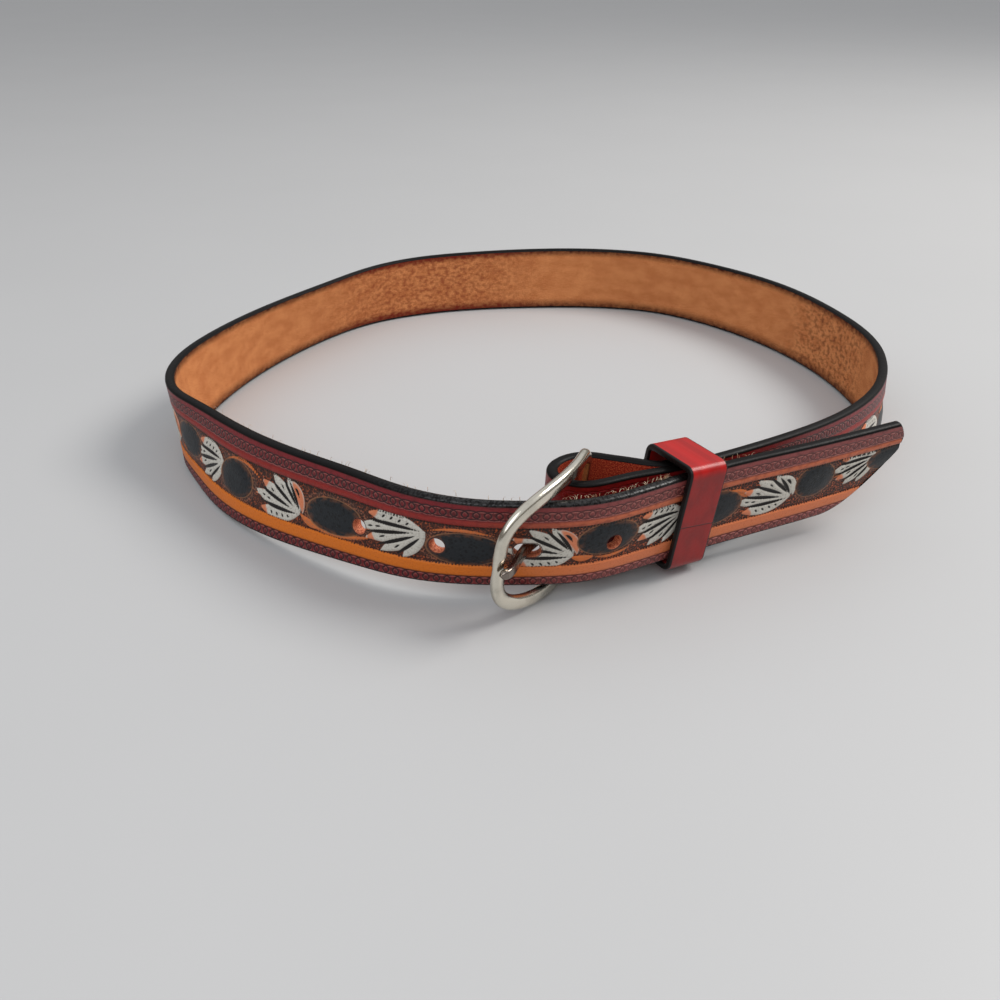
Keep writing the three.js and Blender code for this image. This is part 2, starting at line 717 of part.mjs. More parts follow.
const belt = new THREE.Group();
belt.add(
  mesh('strap', strap(), finish(0x6b2a22, 0.55, 0)),
  mesh('buckle_frame', buckleFrame(), finish(0xb8b2a6, 0.28, 1)),
  mesh('buckle_tongue', buckleTongue(), finish(0x6c6660, 0.4, 1)),
  mesh('keeper_loop', keeperLoop(), finish(0x8e1a16, 0.3, 0)),
  mesh('flap_rivet', flapRivet(), finish(0xa39d90, 0.35, 1)),
);

// The origin is the middle of the surface that the belt stands on
const box = new THREE.Box3().setFromObject(belt, true);
const middle = box.getCenter(new THREE.Vector3());
belt.position.set(-middle.x, -middle.y, -box.min.z);

export default belt;
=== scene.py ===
"""Tooled western belt, buckled into a loop and standing on its lower edge."""

import math
from collections import namedtuple

import bpy
import numpy as np
from bpy.props import FloatProperty, FloatVectorProperty, PointerProperty
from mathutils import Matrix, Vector


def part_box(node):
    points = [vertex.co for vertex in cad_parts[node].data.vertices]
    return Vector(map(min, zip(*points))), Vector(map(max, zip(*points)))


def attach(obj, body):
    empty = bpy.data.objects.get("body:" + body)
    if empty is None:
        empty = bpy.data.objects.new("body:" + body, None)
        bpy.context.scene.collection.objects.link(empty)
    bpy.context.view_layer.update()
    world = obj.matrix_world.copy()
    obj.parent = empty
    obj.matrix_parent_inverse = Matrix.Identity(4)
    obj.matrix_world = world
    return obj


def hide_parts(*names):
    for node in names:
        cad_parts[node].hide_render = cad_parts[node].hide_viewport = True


bl_info = {
    "name": "Tooled Western Belt",
    "version": (1, 0, 0),
    "blender": (4, 5, 0),
    "location": "View3D > Sidebar > Belt",
    "description": "Tooled leather belt with its buckle, keeper and rivet",
    "category": "Object",
}

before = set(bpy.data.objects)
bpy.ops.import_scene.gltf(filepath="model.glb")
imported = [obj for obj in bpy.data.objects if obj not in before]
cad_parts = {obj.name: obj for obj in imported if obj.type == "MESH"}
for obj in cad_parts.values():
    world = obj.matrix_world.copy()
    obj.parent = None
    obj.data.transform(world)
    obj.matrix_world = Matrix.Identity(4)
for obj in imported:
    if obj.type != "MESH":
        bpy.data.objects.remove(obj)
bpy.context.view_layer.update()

MM = 0.001

# Strap, in millimetres
STRAP_WIDTH = 28.6
STRAP_THICKNESS = 3.2
LOOP_WIDTH = 262.8
LOOP_DEPTH = 263.3
TIP_LENGTH = 26.8
TIP_BLUNT = 3.6
TIP_CURVE = 1.9
TIP_SHOULDER_LENGTH = 4.1
TIP_SHOULDER_FALL = 6.2
TIP_SHOULDER_CURVE = 1.4
HOLE_COUNT = 5
HOLE_SPACING = 25.4
HOLE_DIAMETER = 4.8
FIRST_HOLE_FROM_TIP = 76.6
HOLE_HEIGHT = 13.1
BUCKLED_HOLE = 2
WORN_HOLE_LENGTH = 8.0

# Buckle, fold, keeper and rivet, in millimetres, degrees and shares
FRAME_ROOM = 3.3
FRAME_REACH = 38.4
FRAME_BAND = 4.4
FRAME_DEPTH = 3.0
FRAME_CORNER = 3.0
FRAME_BOW = 3.4
FRAME_LEAN = math.radians(6.8)
FRAME_DROP = math.radians(0.1)
FRAME_STANDOFF = 10.7
FRAME_SQUARENESS = 3.6
FRAME_CORNER_RUN = 1.2
FRAME_SWING_MOST = math.radians(80)
FRAME_SWING_TRIES = 24
FRAME_SAG = 0.8
FRAME_FRONT = 0.9
FRAME_SECTION = 2.25
REST_DENT_HALF = 1.7
BAR_DIAMETER = 4.1
BAR_FROM_TIP = 104.5
FOLD_BORE = 13.2
FOLD_TURN = math.radians(22)
FOLD_SHARES = (0, 0.25, 0.5, 0.78)
FOLD_GAP = 0.3
FLAP_PAST_KEEPER = 3.6
TONGUE_HEIGHT = 3.6
TONGUE_THICKNESS = 2.1
TONGUE_OVERHANG = 2.7
TONGUE_PLAY = 0.6
TONGUE_STANDOFF = 0.7
TONGUE_REST = 0.3
TONGUE_TAPER = 0.25
TONGUE_TIP_FROM = 0.95
TONGUE_TIP_ROUND = 0.0026
TONGUE_TIP_LEAST = 0.02
TONGUE_TIP_THICKNESS = 0.35
TONGUE_SECTION = 3.4
EYE_SECTION = 3.2
TONGUE_SLOT_WIDTH = 10.5
KEEPER_FROM_TIP = 75.2
KEEPER_WIDTH = 13.0
KEEPER_WALL = 2.0
KEEPER_TILT = math.radians(4)
RIVET_FROM_TIP = 73.0
RIVET_DIAMETER = 2.7
RIVET_HEAD_DIAMETER = 6.2
RIVET_HEAD = 0.9
RIVET_POLE = 0.02
CLEARANCE = 0.3

# Dome of a rivet's head, as shares of its radius and depths under its top
RIVET_DOME = ((0.45, 0.05), (0.8, 0.2), (0.96, 0.42), (1.0, 0.65), (0.97, RIVET_HEAD))
# Section of a hole's lining, past the hole's rim and below the outer face
LINING = ((0.42, 0.06), (0.2, -0.06), (-0.02, 0.05), (-0.1, 0.4), (-0.12, 1.6),
          (-0.1, 2.8), (-0.02, 3.15), (0.2, 3.26), (0.42, 3.14))

FRAME_HEIGHT = STRAP_WIDTH + FRAME_BAND + FRAME_ROOM
FRONT_LIFT = (FRAME_HEIGHT + FRAME_BAND) / 2 - STRAP_WIDTH / 2 - FRAME_SAG
LAYER_GAP = RIVET_HEAD + 3 * CLEARANCE
FOLD_RADIUS = FOLD_BORE / 2 + STRAP_THICKNESS
SAMPLE_STEP = 0.5
COARSE_STEP = 1.0
TOLERANCE = 1.0

# How finely the small pieces are made, in counts
FRAME_STEPS = 150
FRAME_CORNER_STEPS = 12
FRAME_SIDES = 32
TONGUE_STEPS = 70
TONGUE_SIDES = 20
EYE_STEPS = 48
CURVE_STEPS = 60
KEEPER_CORNER_STEPS = 7
KEEPER_EDGE_STEPS = 8
KEEPER_FACE_STEPS = 14
KEEPER_SIDE_STEP = 0.7
RIVET_SIDES = 40
LINING_SIDES = 48
STROKE_STEPS = 26
# The solid's frame has fewer steps, and they set how high it stands
SOLID_FRAME_STEPS = 44
SOLID_CORNER_STEPS = 4
# How finely a stretch of the strap is made, in millimetres and counts
Fineness = namedtuple("Fineness", "step face_rows edge_rows flesh_rows")
FRONT_FINE = Fineness(0.4, 72, 8, 24)
BACK_FINE = Fineness(0.6, 52, 8, 20)
BUCKLE_END_FINE = Fineness(0.7, 44, 8, 30)
# Where the strap's three stretches meet, from the tip
FRONT_END = 300.0
BACK_END = 864.0

# The upper edge of the outer face from the tip round the loop. across and deep are shares of the
# loop's width and depth, flare the lower edge's stand-out as a share of the strap's width, and
# lift a share of FRONT_LIFT.
Stop = namedtuple("Stop", "across deep flare lift")
ROUTE = [
    Stop(0.425, 0.183, -0.21, 1.29),
    Stop(0.357, 0.153, -0.155, 1.18),
    Stop(0.282, 0.121, -0.125, 1.09),
    Stop(0.198, 0.086, -0.1, 1),
    Stop(0.117, 0.04, -0.13, 1),
    Stop(0.053, 0.008, -0.155, 1),
    Stop(-0.013, 0, -0.15, 1),
    Stop(-0.081, 0.006, -0.11, 0.98),
    Stop(-0.145, 0.033, 0.01, 0.89),
    Stop(-0.204, 0.078, 0.14, 0.73),
    Stop(-0.268, 0.131, 0.235, 0.45),
    Stop(-0.337, 0.194, 0.29, 0.14),
    Stop(-0.39, 0.249, 0.24, 0),
    Stop(-0.435, 0.295, 0.11, 0),
    Stop(-0.474, 0.338, -0.03, 0),
    Stop(-0.494, 0.384, -0.11, 0),
    Stop(-0.5, 0.445, -0.12, 0),
    Stop(-0.476, 0.551, -0.02, 0),
    Stop(-0.413, 0.683, 0.14, 0),
    Stop(-0.338, 0.8, 0.22, 0),
    Stop(-0.276, 0.885, 0.14, 0),
    Stop(-0.208, 0.939, 0.03, 0),
    Stop(-0.101, 0.978, -0.025, 0),
    Stop(0.028, 1, -0.1, 0),
    Stop(0.137, 0.998, -0.1, 0),
    Stop(0.248, 0.964, -0.06, 0),
    Stop(0.343, 0.89, -0.06, 0),
    Stop(0.425, 0.789, -0.1, 0),
    Stop(0.482, 0.648, -0.07, 0),
    Stop(0.5, 0.52, -0.045, 0),
    Stop(0.486, 0.433, 0.045, 0),
    Stop(0.444, 0.336, 0.07, 0.07),
    Stop(0.365, 0.241, 0.03, 0.27),
    Stop(0.287, 0.172, -0.06, 0.66),
]
# Gap behind the run with the tip, from the keeper to the bar, as shares
Under = namedtuple("Under", "along gap")
UNDER_RUN = [
    Under(-0.45, 0.02),
    Under(-0.2, 0),
    Under(0, 0),
    Under(0.3, 0.1),
    Under(0.56, 0.22),
    Under(0.84, 0.27),
]
# Gap between that run and the flap, from the bar back to the keeper, as shares
Flap = namedtuple("Flap", "back gap")
FLAP = [
    Flap(0.38, 0.95),
    Flap(0.53, 0.63),
    Flap(0.67, 0.33),
    Flap(0.8, 0.11),
    Flap(0.91, 0),
    Flap(1.04, 0),
    Flap(1.18, 0),
]

# Bands of the outer face, by height above the lower edge
LOWER_BAND = 3.6
PANEL_LOW = 7.3
PANEL_HIGH = 20.4
UPPER_BAND = 22.4
EDGE_BLACK = 27.5
LOWER_CHAIN = 2.1
UPPER_CHAIN = 24.5
CHAIN_PITCH = 3.1
LINK_LENGTH = 0.8
LINK_HALF_HEIGHT = 1.4
LINK_LINE = 0.13
LINK_SOFT = 0.14
LINK_GLINT = 0.3
PLAIN_FROM = 858.0
TIP_START = 0.03
TIP_END_ROUND = 1.1
TIP_END_INSET = 0.5
# Screen colours of the borders near the tip, lighter and greyer than further round: partly the dye,
# partly a painted reflection of the light there
BORDER_WITH_SHEEN_NEAR_TIP = (134, 66, 64)
BAND_WITH_SHEEN_NEAR_TIP = (206, 116, 74)
# Levels of the tooling under the leaves, as shares of the relief, and the runs between them
GROUND_LEVEL = 0.8
CUT_LEVEL = 0.75
OVAL_LEVEL = 0.55
OVAL_DOME = 0.75
OVAL_DOME_RUN = 3.6
LINE_LEVEL = 0.5
LINE_HALF = 0.28
HOLE_EASE = (0.1, 1.3)

# Dark ovals of the panel, from the tip
Oval = namedtuple("Oval", "along height half_long half_high")
OVALS = [
    Oval(2.5, 16.4, 9.8, 4.4),
    Oval(31.9, 15.1, 7.2, 5.9),
    Oval(66.5, 14.0, 8.6, 5.6),
    Oval(103.7, 15.0, 9.7, 5.5),
    Oval(145.0, 12.5, 11.4, 5.4),
    Oval(188.0, 13.4, 11.4, 5.4),
    Oval(233.7, 13.3, 9.4, 5.8),
]
# Leaves: where the lobes meet, their length along the strap, the fan's height and its side
Leaf = namedtuple("Leaf", "along height length reach side")
DOWN, UP = -1, 1
LEAVES = [
    Leaf(9.5, 18.4, 13.0, 7.4, DOWN),
    Leaf(40.6, 11.4, 15.6, 7.9, UP),
    Leaf(79.0, 17.0, 13.5, 8.2, DOWN),
    Leaf(114.4, 10.5, 15.8, 8.8, UP),
    Leaf(156.4, 16.6, 18.0, 8.3, DOWN),
    Leaf(202.0, 10.8, 16.2, 8.6, UP),
    Leaf(242.5, 16.0, 16.0, 8.0, DOWN),
]

# A leaf's lobes, cuts and ticks. along is a share of its length and rise of its fan, both from
# the point where the lobes meet, and half is half the widest width.
Stroke = namedtuple("Stroke", "start_along start_rise bow_along bow_rise end_along end_rise half")
# A stroke's width runs as a leant and filled half wave
STROKE_START = 0.05
STROKE_RUN = 0.94
STROKE_LEAN = 1.15
STROKE_FULLNESS = 0.9
STROKE_MARGIN = 0.5
LOBES = [
    Stroke(0, 0.02, 0.4, -0.3, 1.06, -0.22, 2.4),
    Stroke(0, 0, 0.55, 0.08, 1.26, 0.32, 2.2),
    Stroke(0, 0, 0.46, 0.28, 1.1, 0.74, 2.3),
    Stroke(0, 0, 0.32, 0.42, 0.8, 1.08, 2.3),
    Stroke(0, 0, 0.12, 0.48, 0.4, 1.14, 1.9),
]
CUTS = [
    Stroke(0.05, -0.02, 0.5, -0.08, 1.2, 0.04, 0.62),
    Stroke(0.2, 0.1, 0.6, 0.26, 1.24, 0.56, 0.6),
    Stroke(0.16, 0.2, 0.42, 0.46, 0.96, 0.98, 0.58),
    Stroke(0.08, 0.24, 0.22, 0.56, 0.58, 1.18, 0.52),
]
TICKS = [
    Stroke(0.26, -0.26, 0.28, -0.22, 0.32, -0.16, 0.28),
    Stroke(0.4, -0.32, 0.42, -0.26, 0.46, -0.18, 0.3),
    Stroke(0.55, -0.34, 0.57, -0.28, 0.61, -0.2, 0.3),
    Stroke(0.7, -0.34, 0.72, -0.28, 0.76, -0.2, 0.3),
    Stroke(0.78, 0.16, 0.83, 0.17, 0.9, 0.21, 0.26),
    Stroke(0.94, 0.22, 0.98, 0.23, 1.04, 0.27, 0.26),
    Stroke(0.7, 0.46, 0.75, 0.5, 0.82, 0.57, 0.26),
    Stroke(0.44, 0.66, 0.48, 0.74, 0.54, 0.84, 0.26),
]
AMBER_TIPS = [
    Stroke(0.84, -0.4, 0.98, -0.26, 1.1, -0.14, 1.7),
    Stroke(0.98, 0.5, 1.02, 0.7, 0.9, 1.0, 1.4),
]
CURL = Stroke(-0.08, 0.06, -0.06, 0.66, 0.26, 1.06, 1.5)
CURL_CUT = Stroke(0.0, 0.1, 0.08, 0.5, 0.36, 1.1, 0.5)
CURL_EYE = Stroke(0.02, 0.56, 0.08, 0.8, 0.16, 0.86, 0.4)
# The first leaf with a curl whose curl is amber
AMBER_CURL_FROM = 3

# Orange vines, in millimetres along the strap and above its lower edge
Vine = namedtuple("Vine", "along height bow_along bow_height end_along end_height half")
VINES = [
    Vine(65.0, 18.4, 58.5, 19.4, 54.6, 15.2, 0.42),
    Vine(62.0, 16.9, 58.0, 17.6, 55.6, 14.4, 0.36),
    Vine(24.5, 14.0, 21.5, 15.0, 19.5, 16.6, 0.4),
    Vine(114.8, 10.2, 112.0, 8.6, 108.0, 9.6, 0.75),
    Vine(108.0, 9.6, 103.0, 7.2, 95.0, 10.5, 0.36),
    Vine(157.0, 17.0, 146.0, 20.6, 135.0, 17.0, 0.42),
    Vine(178.5, 13.2, 176.0, 13.6, 172.0, 13.6, 0.4),
    Vine(200.0, 9.0, 184.0, 5.4, 170.0, 12.6, 0.5),
    Vine(201.6, 11.0, 198.0, 8.4, 192.0, 8.6, 0.8),
    Vine(242.5, 16.2, 231.5, 24.0, 217.2, 14.6, 0.42),
    Vine(222.5, 12.2, 219.5, 13.0, 216.5, 13.6, 0.4),
]
VINE_WIDTH = 1.4
# The repeat that goes on round the loop, from its own start, with its leaf up and with it down
REPEAT_FROM = 268.0
REPEAT_LENGTH = 38.5
Repeat = namedtuple("Repeat", "oval leaf vines")
REPEATS = {
    UP: Repeat(Oval(0, 14.4, 9.3, 5.6), Leaf(10.4, 10.8, 15.8, 8.5, UP), [
        Vine(10.8, 10.8, 0, 6.6, -10.2, 13.8, 0.42),
        Vine(26.9, 13.6, 28.9, 13.9, 29.9, 9.0, 0.4),
    ]),
    DOWN: Repeat(Oval(0, 13.2, 9.3, 5.6), Leaf(10.4, 16.4, 15.8, 8.5, DOWN), [
        Vine(10.8, 16.4, 0, 21.6, -10.2, 13.8, 0.42),
        Vine(26.9, 13.6, 28.9, 13.9, 29.9, 18.6, 0.4),
    ]),
}
# What the strap's points carry of the motifs, and its value far outside them
FIELDS = ("leaf", "cut", "oval", "vine", "amber")
FAR = -4.0

# Stretches of the upper back edge with loose fibres, from the tip, and how many
Fibres = namedtuple("Fibres", "start end count")
FIBRES = [
    Fibres(55, 70, 10),
    Fibres(84, 118, 60),
    Fibres(118, 180, 16),
    Fibres(180, 260, 18),
]
FIBRE_SEED = 11
FIBRE_STEPS = 6
FIBRE_SIDES = 4
FIBRE_RADIUS = 0.09
FIBRE_FLARE = 1.1
FIBRE_ROOT = 0.25
# The least and the most that a fibre gets of each
FIBRE_SWAY = (-1.6, 1.6)
FIBRE_INSET = (0, 0.9)
FIBRE_LEAN = (-0.5, 0.7)
FIBRE_RISE = (0.4, 1.5)
FIBRE_ARCH = (0.45, 0.8)

# Camera, from the strap's box, in millimetres and degrees
CAMERA_SIDE = -12.3
CAMERA_BACK = 225.2
CAMERA_HEIGHT = 162.66
CAMERA_PITCH = 29.5
CAMERA_LENS = 36.0
CAMERA_SENSOR = 36.0
CAMERA_CLIP = 0.01

# Floor and lights, in metres
FLOOR_SIZE = 6.0
FLOOR_DROP = 0.0002
Lamp = namedtuple("Lamp", "name place target size tint")
WINDOW = Lamp("window", (1.05, 0.15, 1.1), (0, 0, 0.02), 0.8, (1, 0.97, 0.93))
ROOM = Lamp("room", (-0.5, -0.9, 0.9), (0, -0.05, 0), 1.2, (0.93, 0.96, 1))


def smooth(low, high, value):
    """A soft step from 0 at low to 1 at high."""
    share = np.clip((value - low) / (high - low), 0, 1)
    return share * share * (3 - 2 * share)


def turned(vector, angle):
    """A plan vector turned about the upright axis."""
    c, s = math.cos(angle), math.sin(angle)
    return np.array([vector[0] * c - vector[1] * s, vector[0] * s + vector[1] * c])


def unit(vector):
    """A vector made one long."""
    return vector / np.linalg.norm(vector)


def units(vectors):
    """Rows of vectors, each made one long."""
    return vectors / np.linalg.norm(vectors, axis=1)[:, None]


def bends(knots, values):
    """Second derivatives of a natural cubic spline, one column for each value."""
    upper = np.zeros(len(knots))
    bend = np.zeros_like(values)
    for i in range(1, len(knots) - 1):
        before, after = knots[i] - knots[i - 1], knots[i + 1] - knots[i]
        jump = (values[i + 1] - values[i]) / after - (values[i] - values[i - 1]) / before
        pivot = 2 * (before + after) - before * upper[i - 1]
        upper[i] = after / pivot
        bend[i] = (6 * jump - before * bend[i - 1]) / pivot
    for i in range(len(knots) - 2, 0, -1):
        bend[i] -= upper[i] * bend[i + 1]
    return bend


class Path:
    """A smooth path through rows of x, y, lean x, lean y and lift, read by its length in plan."""

    def __init__(self, rows):
        self.rows = np.array(rows, float)
        steps = np.hypot(*np.diff(self.rows[:, :2], axis=0).T)
        self.knots = np.concatenate([[0], np.cumsum(steps)])
        self.curves = bends(self.knots, self.rows)
        count = math.ceil(self.knots[-1] / SAMPLE_STEP)
        self.t = np.linspace(0, self.knots[-1], count + 1)
        plan = self.raw(self.t)[:, :2]
        self.lengths = np.concatenate([[0], np.cumsum(np.hypot(*np.diff(plan, axis=0).T))])
        self.length = self.lengths[-1]

    def raw(self, t):
        """Rows at places counted along the straight steps between the path's own rows."""
        last = len(self.knots) - 2
        i = np.clip(np.searchsorted(self.knots, t, side="right") - 1, 0, last)
        step = self.knots[i + 1] - self.knots[i]
        b = ((t - self.knots[i]) / step)[:, None]
        a = 1 - b
        bow = (a ** 3 - a) * self.curves[i] + (b ** 3 - b) * self.curves[i + 1]
        return a * self.rows[i] + b * self.rows[i + 1] + bow * (step ** 2)[:, None] / 6

    def length_at_row(self, i):
        """The length in plan at which a row of the path lies."""
        return float(np.interp(self.knots[i], self.t, self.lengths))

    def at(self, length):
        """Rows, directions along and directions outwards at lengths."""
        t = np.interp(np.atleast_1d(np.asarray(length, float)), self.lengths, self.t)
        near = self.raw(np.maximum(t - SAMPLE_STEP, 0))
        far = self.raw(np.minimum(t + SAMPLE_STEP, self.t[-1]))
        along = units((far - near)[:, :2])
        return self.raw(t), along, np.stack([-along[:, 1], along[:, 0]], axis=1)

    def spot(self, length):
        """The row, the direction along and the direction outwards at one length."""
        return [each[0] for each in self.at(length)]

    def point(self, length, depth, height):
        """Points that lie depth behind the outer face and height above the lower edge."""
        row, _, out = self.at(length)
        depth = np.broadcast_to(np.asarray(depth, float), len(row))[:, None]
        height = np.broadcast_to(np.asarray(height, float), len(row))
        plan = row[:, :2] + row[:, 2:4] * (1 - height / STRAP_WIDTH)[:, None] - out * depth
        return np.column_stack([plan, np.maximum(row[:, 4], 0) + height])

    def behind(self, length, depth):
        """A row that lies depth behind this path."""
        row, _, out = self.spot(length)
        return [*(row[:2] - out * depth), *row[2:]]


class Run:
    """The strap's way round the loop, through the keeper, round the bar and back."""

    def __init__(self):
        rows = self.loop_rows()
        self.loop = Path(rows)
        reach = BAR_FROM_TIP - KEEPER_FROM_TIP
        row, along, out = self.loop.spot(BAR_FROM_TIP)
        self.bar_row, self.bar_along = row, along
        depth = STRAP_THICKNESS + LAYER_GAP + FOLD_GAP * FOLD_BORE + FOLD_RADIUS
        bar = row[:2] - out * depth
        height = max(row[4], 0) + STRAP_WIDTH / 2
        self.bar_middle = np.array([*(bar + row[2:4] / 2), height])
        fold_out, fold_along = turned(out, -FOLD_TURN), turned(along, -FOLD_TURN)
        fold = []
        for share in FOLD_SHARES:
            turn = math.pi * share
            round_bar = fold_out * math.cos(turn) + fold_along * math.sin(turn)
            fold.append([*(bar + FOLD_RADIUS * round_bar), *row[2:]])
        under = []
        for place in UNDER_RUN:
            gap = STRAP_THICKNESS + LAYER_GAP + place.gap * FOLD_BORE
            under.append(self.loop.behind(KEEPER_FROM_TIP + place.along * reach, gap))
        to_bar = Path(rows + under + fold[:1])
        layers = 2 * STRAP_THICKNESS + CLEARANCE
        flap = []
        for place in FLAP:
            at = to_bar.length - place.back * reach
            flap.append(to_bar.behind(at, layers + place.gap * FOLD_BORE))
        end = to_bar.length - (reach + KEEPER_WIDTH / 2 + FLAP_PAST_KEEPER)
        flap.append(to_bar.behind(end, layers))
        self.path = Path(rows + under + fold + flap)
        first_fold = len(ROUTE) + len(UNDER_RUN)
        self.fold_start = self.path.length_at_row(first_fold)
        self.fold_end = self.path.length_at_row(first_fold + len(fold) - 1)

    @staticmethod
    def loop_rows():
        """The charted stops as rows in millimetres."""
        plan = np.array([(stop.across * LOOP_WIDTH, stop.deep * LOOP_DEPTH) for stop in ROUTE])
        outline = Path(plan)
        rows = []
        for i, stop in enumerate(ROUTE):
            out = outline.spot(outline.length_at_row(i))[2]
            rows.append([*plan[i], *(out * stop.flare * STRAP_WIDTH), stop.lift * FRONT_LIFT])
        return rows


RUN = Run()


def part_shift():
    """What brings the run's own millimetres to the frame, from the strap's box."""
    lengths = np.arange(0, RUN.path.length, SAMPLE_STEP)
    corners = [RUN.path.point(lengths, d, h) for d in (0, STRAP_THICKNESS) for h in (0, STRAP_WIDTH)]
    points = np.vstack(corners)
    low, high = (np.array(corner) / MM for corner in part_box("strap"))
    size = high - low
    off = np.abs((points.max(0) - points.min(0)) - size)[:2].max()
    if off > TOLERANCE:
        raise RuntimeError(f"the strap's run is {off:.2f} mm off its solid")
    middle = (low + high) / 2 - (points.max(0) + points.min(0)) / 2
    return np.array([middle[0], middle[1], 0.0])


SHIFT = part_shift()


def tip_low(length):
    """Height of the slanted lower side of the tip."""
    share = np.maximum(1 - length / TIP_LENGTH, 0)
    return share ** TIP_CURVE * (STRAP_WIDTH - TIP_SHOULDER_FALL - TIP_BLUNT)


def tip_high(length):
    """Height of the upper side of the tip."""
    share = np.maximum(1 - length / TIP_SHOULDER_LENGTH, 0)
    return STRAP_WIDTH - TIP_SHOULDER_FALL * share ** TIP_SHOULDER_CURVE


# Punched holes: straight is half of a hole's straight stretch, without its round ends
Hole = namedtuple("Hole", "along height straight radius")


def holes():
    """The punched holes and the slot in the fold that lets the tongue out."""
    found = []
    for i in range(HOLE_COUNT):
        along = FIRST_HOLE_FROM_TIP + i * HOLE_SPACING
        if i == BUCKLED_HOLE:
            radius = TONGUE_HEIGHT / 2 + TONGUE_PLAY
            found.append(Hole(along, HOLE_HEIGHT, WORN_HOLE_LENGTH / 2 - radius, radius))
        else:
            found.append(Hole(along, HOLE_HEIGHT, 0, HOLE_DIAMETER / 2))
    return found


TONGUE_HOLE = RUN.path.point(FIRST_HOLE_FROM_TIP + BUCKLED_HOLE * HOLE_SPACING,
                             STRAP_THICKNESS / 2, HOLE_HEIGHT)[0]


def tongue_slot():
    """The slot in the fold, where the wall lies between the bar and the tongue's hole."""
    towards = unit((TONGUE_HOLE - RUN.bar_middle)[:2])
    side = np.array([-towards[1], towards[0]])
    lengths = np.arange(RUN.fold_start - FOLD_BORE, RUN.path.length, SAMPLE_STEP)
    wall = RUN.path.point(lengths, STRAP_THICKNESS / 2, STRAP_WIDTH / 2)[:, :2]
    away = wall - RUN.bar_middle[:2]
    inside = (away @ towards > 0) & (np.abs(away @ side) < TONGUE_SLOT_WIDTH / 2)
    inside &= away @ towards < FOLD_RADIUS + 2 * STRAP_THICKNESS
    cut = lengths[inside]
    radius = TONGUE_HEIGHT / 2 + TONGUE_PLAY
    lift = max(RUN.bar_row[4], 0)
    middle = (cut.min() + cut.max()) / 2
    straight = max((cut.max() - cut.min()) / 2 - radius, 0)
    return Hole(middle, TONGUE_HOLE[2] - lift, straight, radius)


HOLES = holes() + [tongue_slot()]


def from_hole(hole, along, height):
    """Offsets from the middle line of a hole, and the distance from its rim, positive outside."""
    across = along - hole.along
    across = np.sign(across) * np.maximum(np.abs(across) - hole.straight, 0)
    up = height - hole.height
    return across, up, np.hypot(across, up) - hole.radius


def stroke_field(field, s, h, points, half):
    """Raises a field to the distance inside a tapered stroke."""
    start, bow, end = (np.array(point) for point in points)
    reach = half + STROKE_MARGIN
    box = np.stack([start, bow, end])
    near = (s > box[:, 0].min() - reach) & (s < box[:, 0].max() + reach)
    if not near.any():
        return
    t = np.linspace(0, 1, STROKE_STEPS)[:, None]
    line = (1 - t) ** 2 * start + 2 * t * (1 - t) * bow + t * t * end
    wave = (STROKE_START + STROKE_RUN * t[:, 0]) ** STROKE_LEAN
    wide = half * np.sin(math.pi * wave) ** STROKE_FULLNESS
    away = np.hypot(s[near][:, None] - line[:, 0], h[near][:, None] - line[:, 1])
    field[near] = np.maximum(field[near], (wide - away).max(1))


def leaf_points(leaf, stroke):
    """A leaf's stroke in millimetres."""
    pairs = ((stroke.start_along, stroke.start_rise), (stroke.bow_along, stroke.bow_rise),
             (stroke.end_along, stroke.end_rise))
    return [(leaf.along + along * leaf.length, leaf.height + leaf.side * rise * leaf.reach)
            for along, rise in pairs]


def moved(motif, way):
    """A motif further along the strap."""
    alongs = [name for name in motif._fields if name.endswith("along")]
    return motif._replace(**{name: getattr(motif, name) + way for name in alongs})


def motifs():
    """The charted motifs, and the same repeat on round the loop."""
    ovals, leaves, vines = list(OVALS), list(LEAVES), list(VINES)
    along, side = REPEAT_FROM, UP
    while along < PLAIN_FROM - REPEAT_LENGTH:
        repeat = REPEATS[side]
        ovals.append(moved(repeat.oval, along))
        leaves.append(moved(repeat.leaf, along))
        vines += [moved(vine, along) for vine in repeat.vines]
        along += REPEAT_LENGTH
        side = -side
    return ovals, leaves, vines


def tooling(s, h):
    """Fields of the tooled motifs at places along and above the lower edge, positive inside."""
    fields = {name: np.full(s.shape, FAR) for name in FIELDS}
    ovals, leaves, vines = motifs()
    for oval in ovals:
        share = np.hypot((s - oval.along) / oval.half_long, (h - oval.height) / oval.half_high)
        fields["oval"] = np.maximum(fields["oval"], (1 - share) * oval.half_high)
    for number, leaf in enumerate(leaves):
        strokes = [("leaf", stroke) for stroke in LOBES]
        strokes += [("cut", stroke) for stroke in CUTS + TICKS]
        strokes += [("amber", stroke) for stroke in AMBER_TIPS]
        if leaf.side == UP:
            strokes += [("leaf", CURL), ("cut", CURL_CUT), ("cut", CURL_EYE)]
        if leaf.side == UP and number >= AMBER_CURL_FROM:
            strokes.append(("amber", CURL))
        for name, stroke in strokes:
            stroke_field(fields[name], s, h, leaf_points(leaf, stroke), stroke.half)
    for vine in vines:
        ends = ((vine.along, vine.height), (vine.bow_along, vine.bow_height),
                (vine.end_along, vine.end_height))
        stroke_field(fields["vine"], s, h, ends, vine.half * VINE_WIDTH)
    fields["leaf"] = np.minimum(fields["leaf"], -fields["oval"])
    return fields


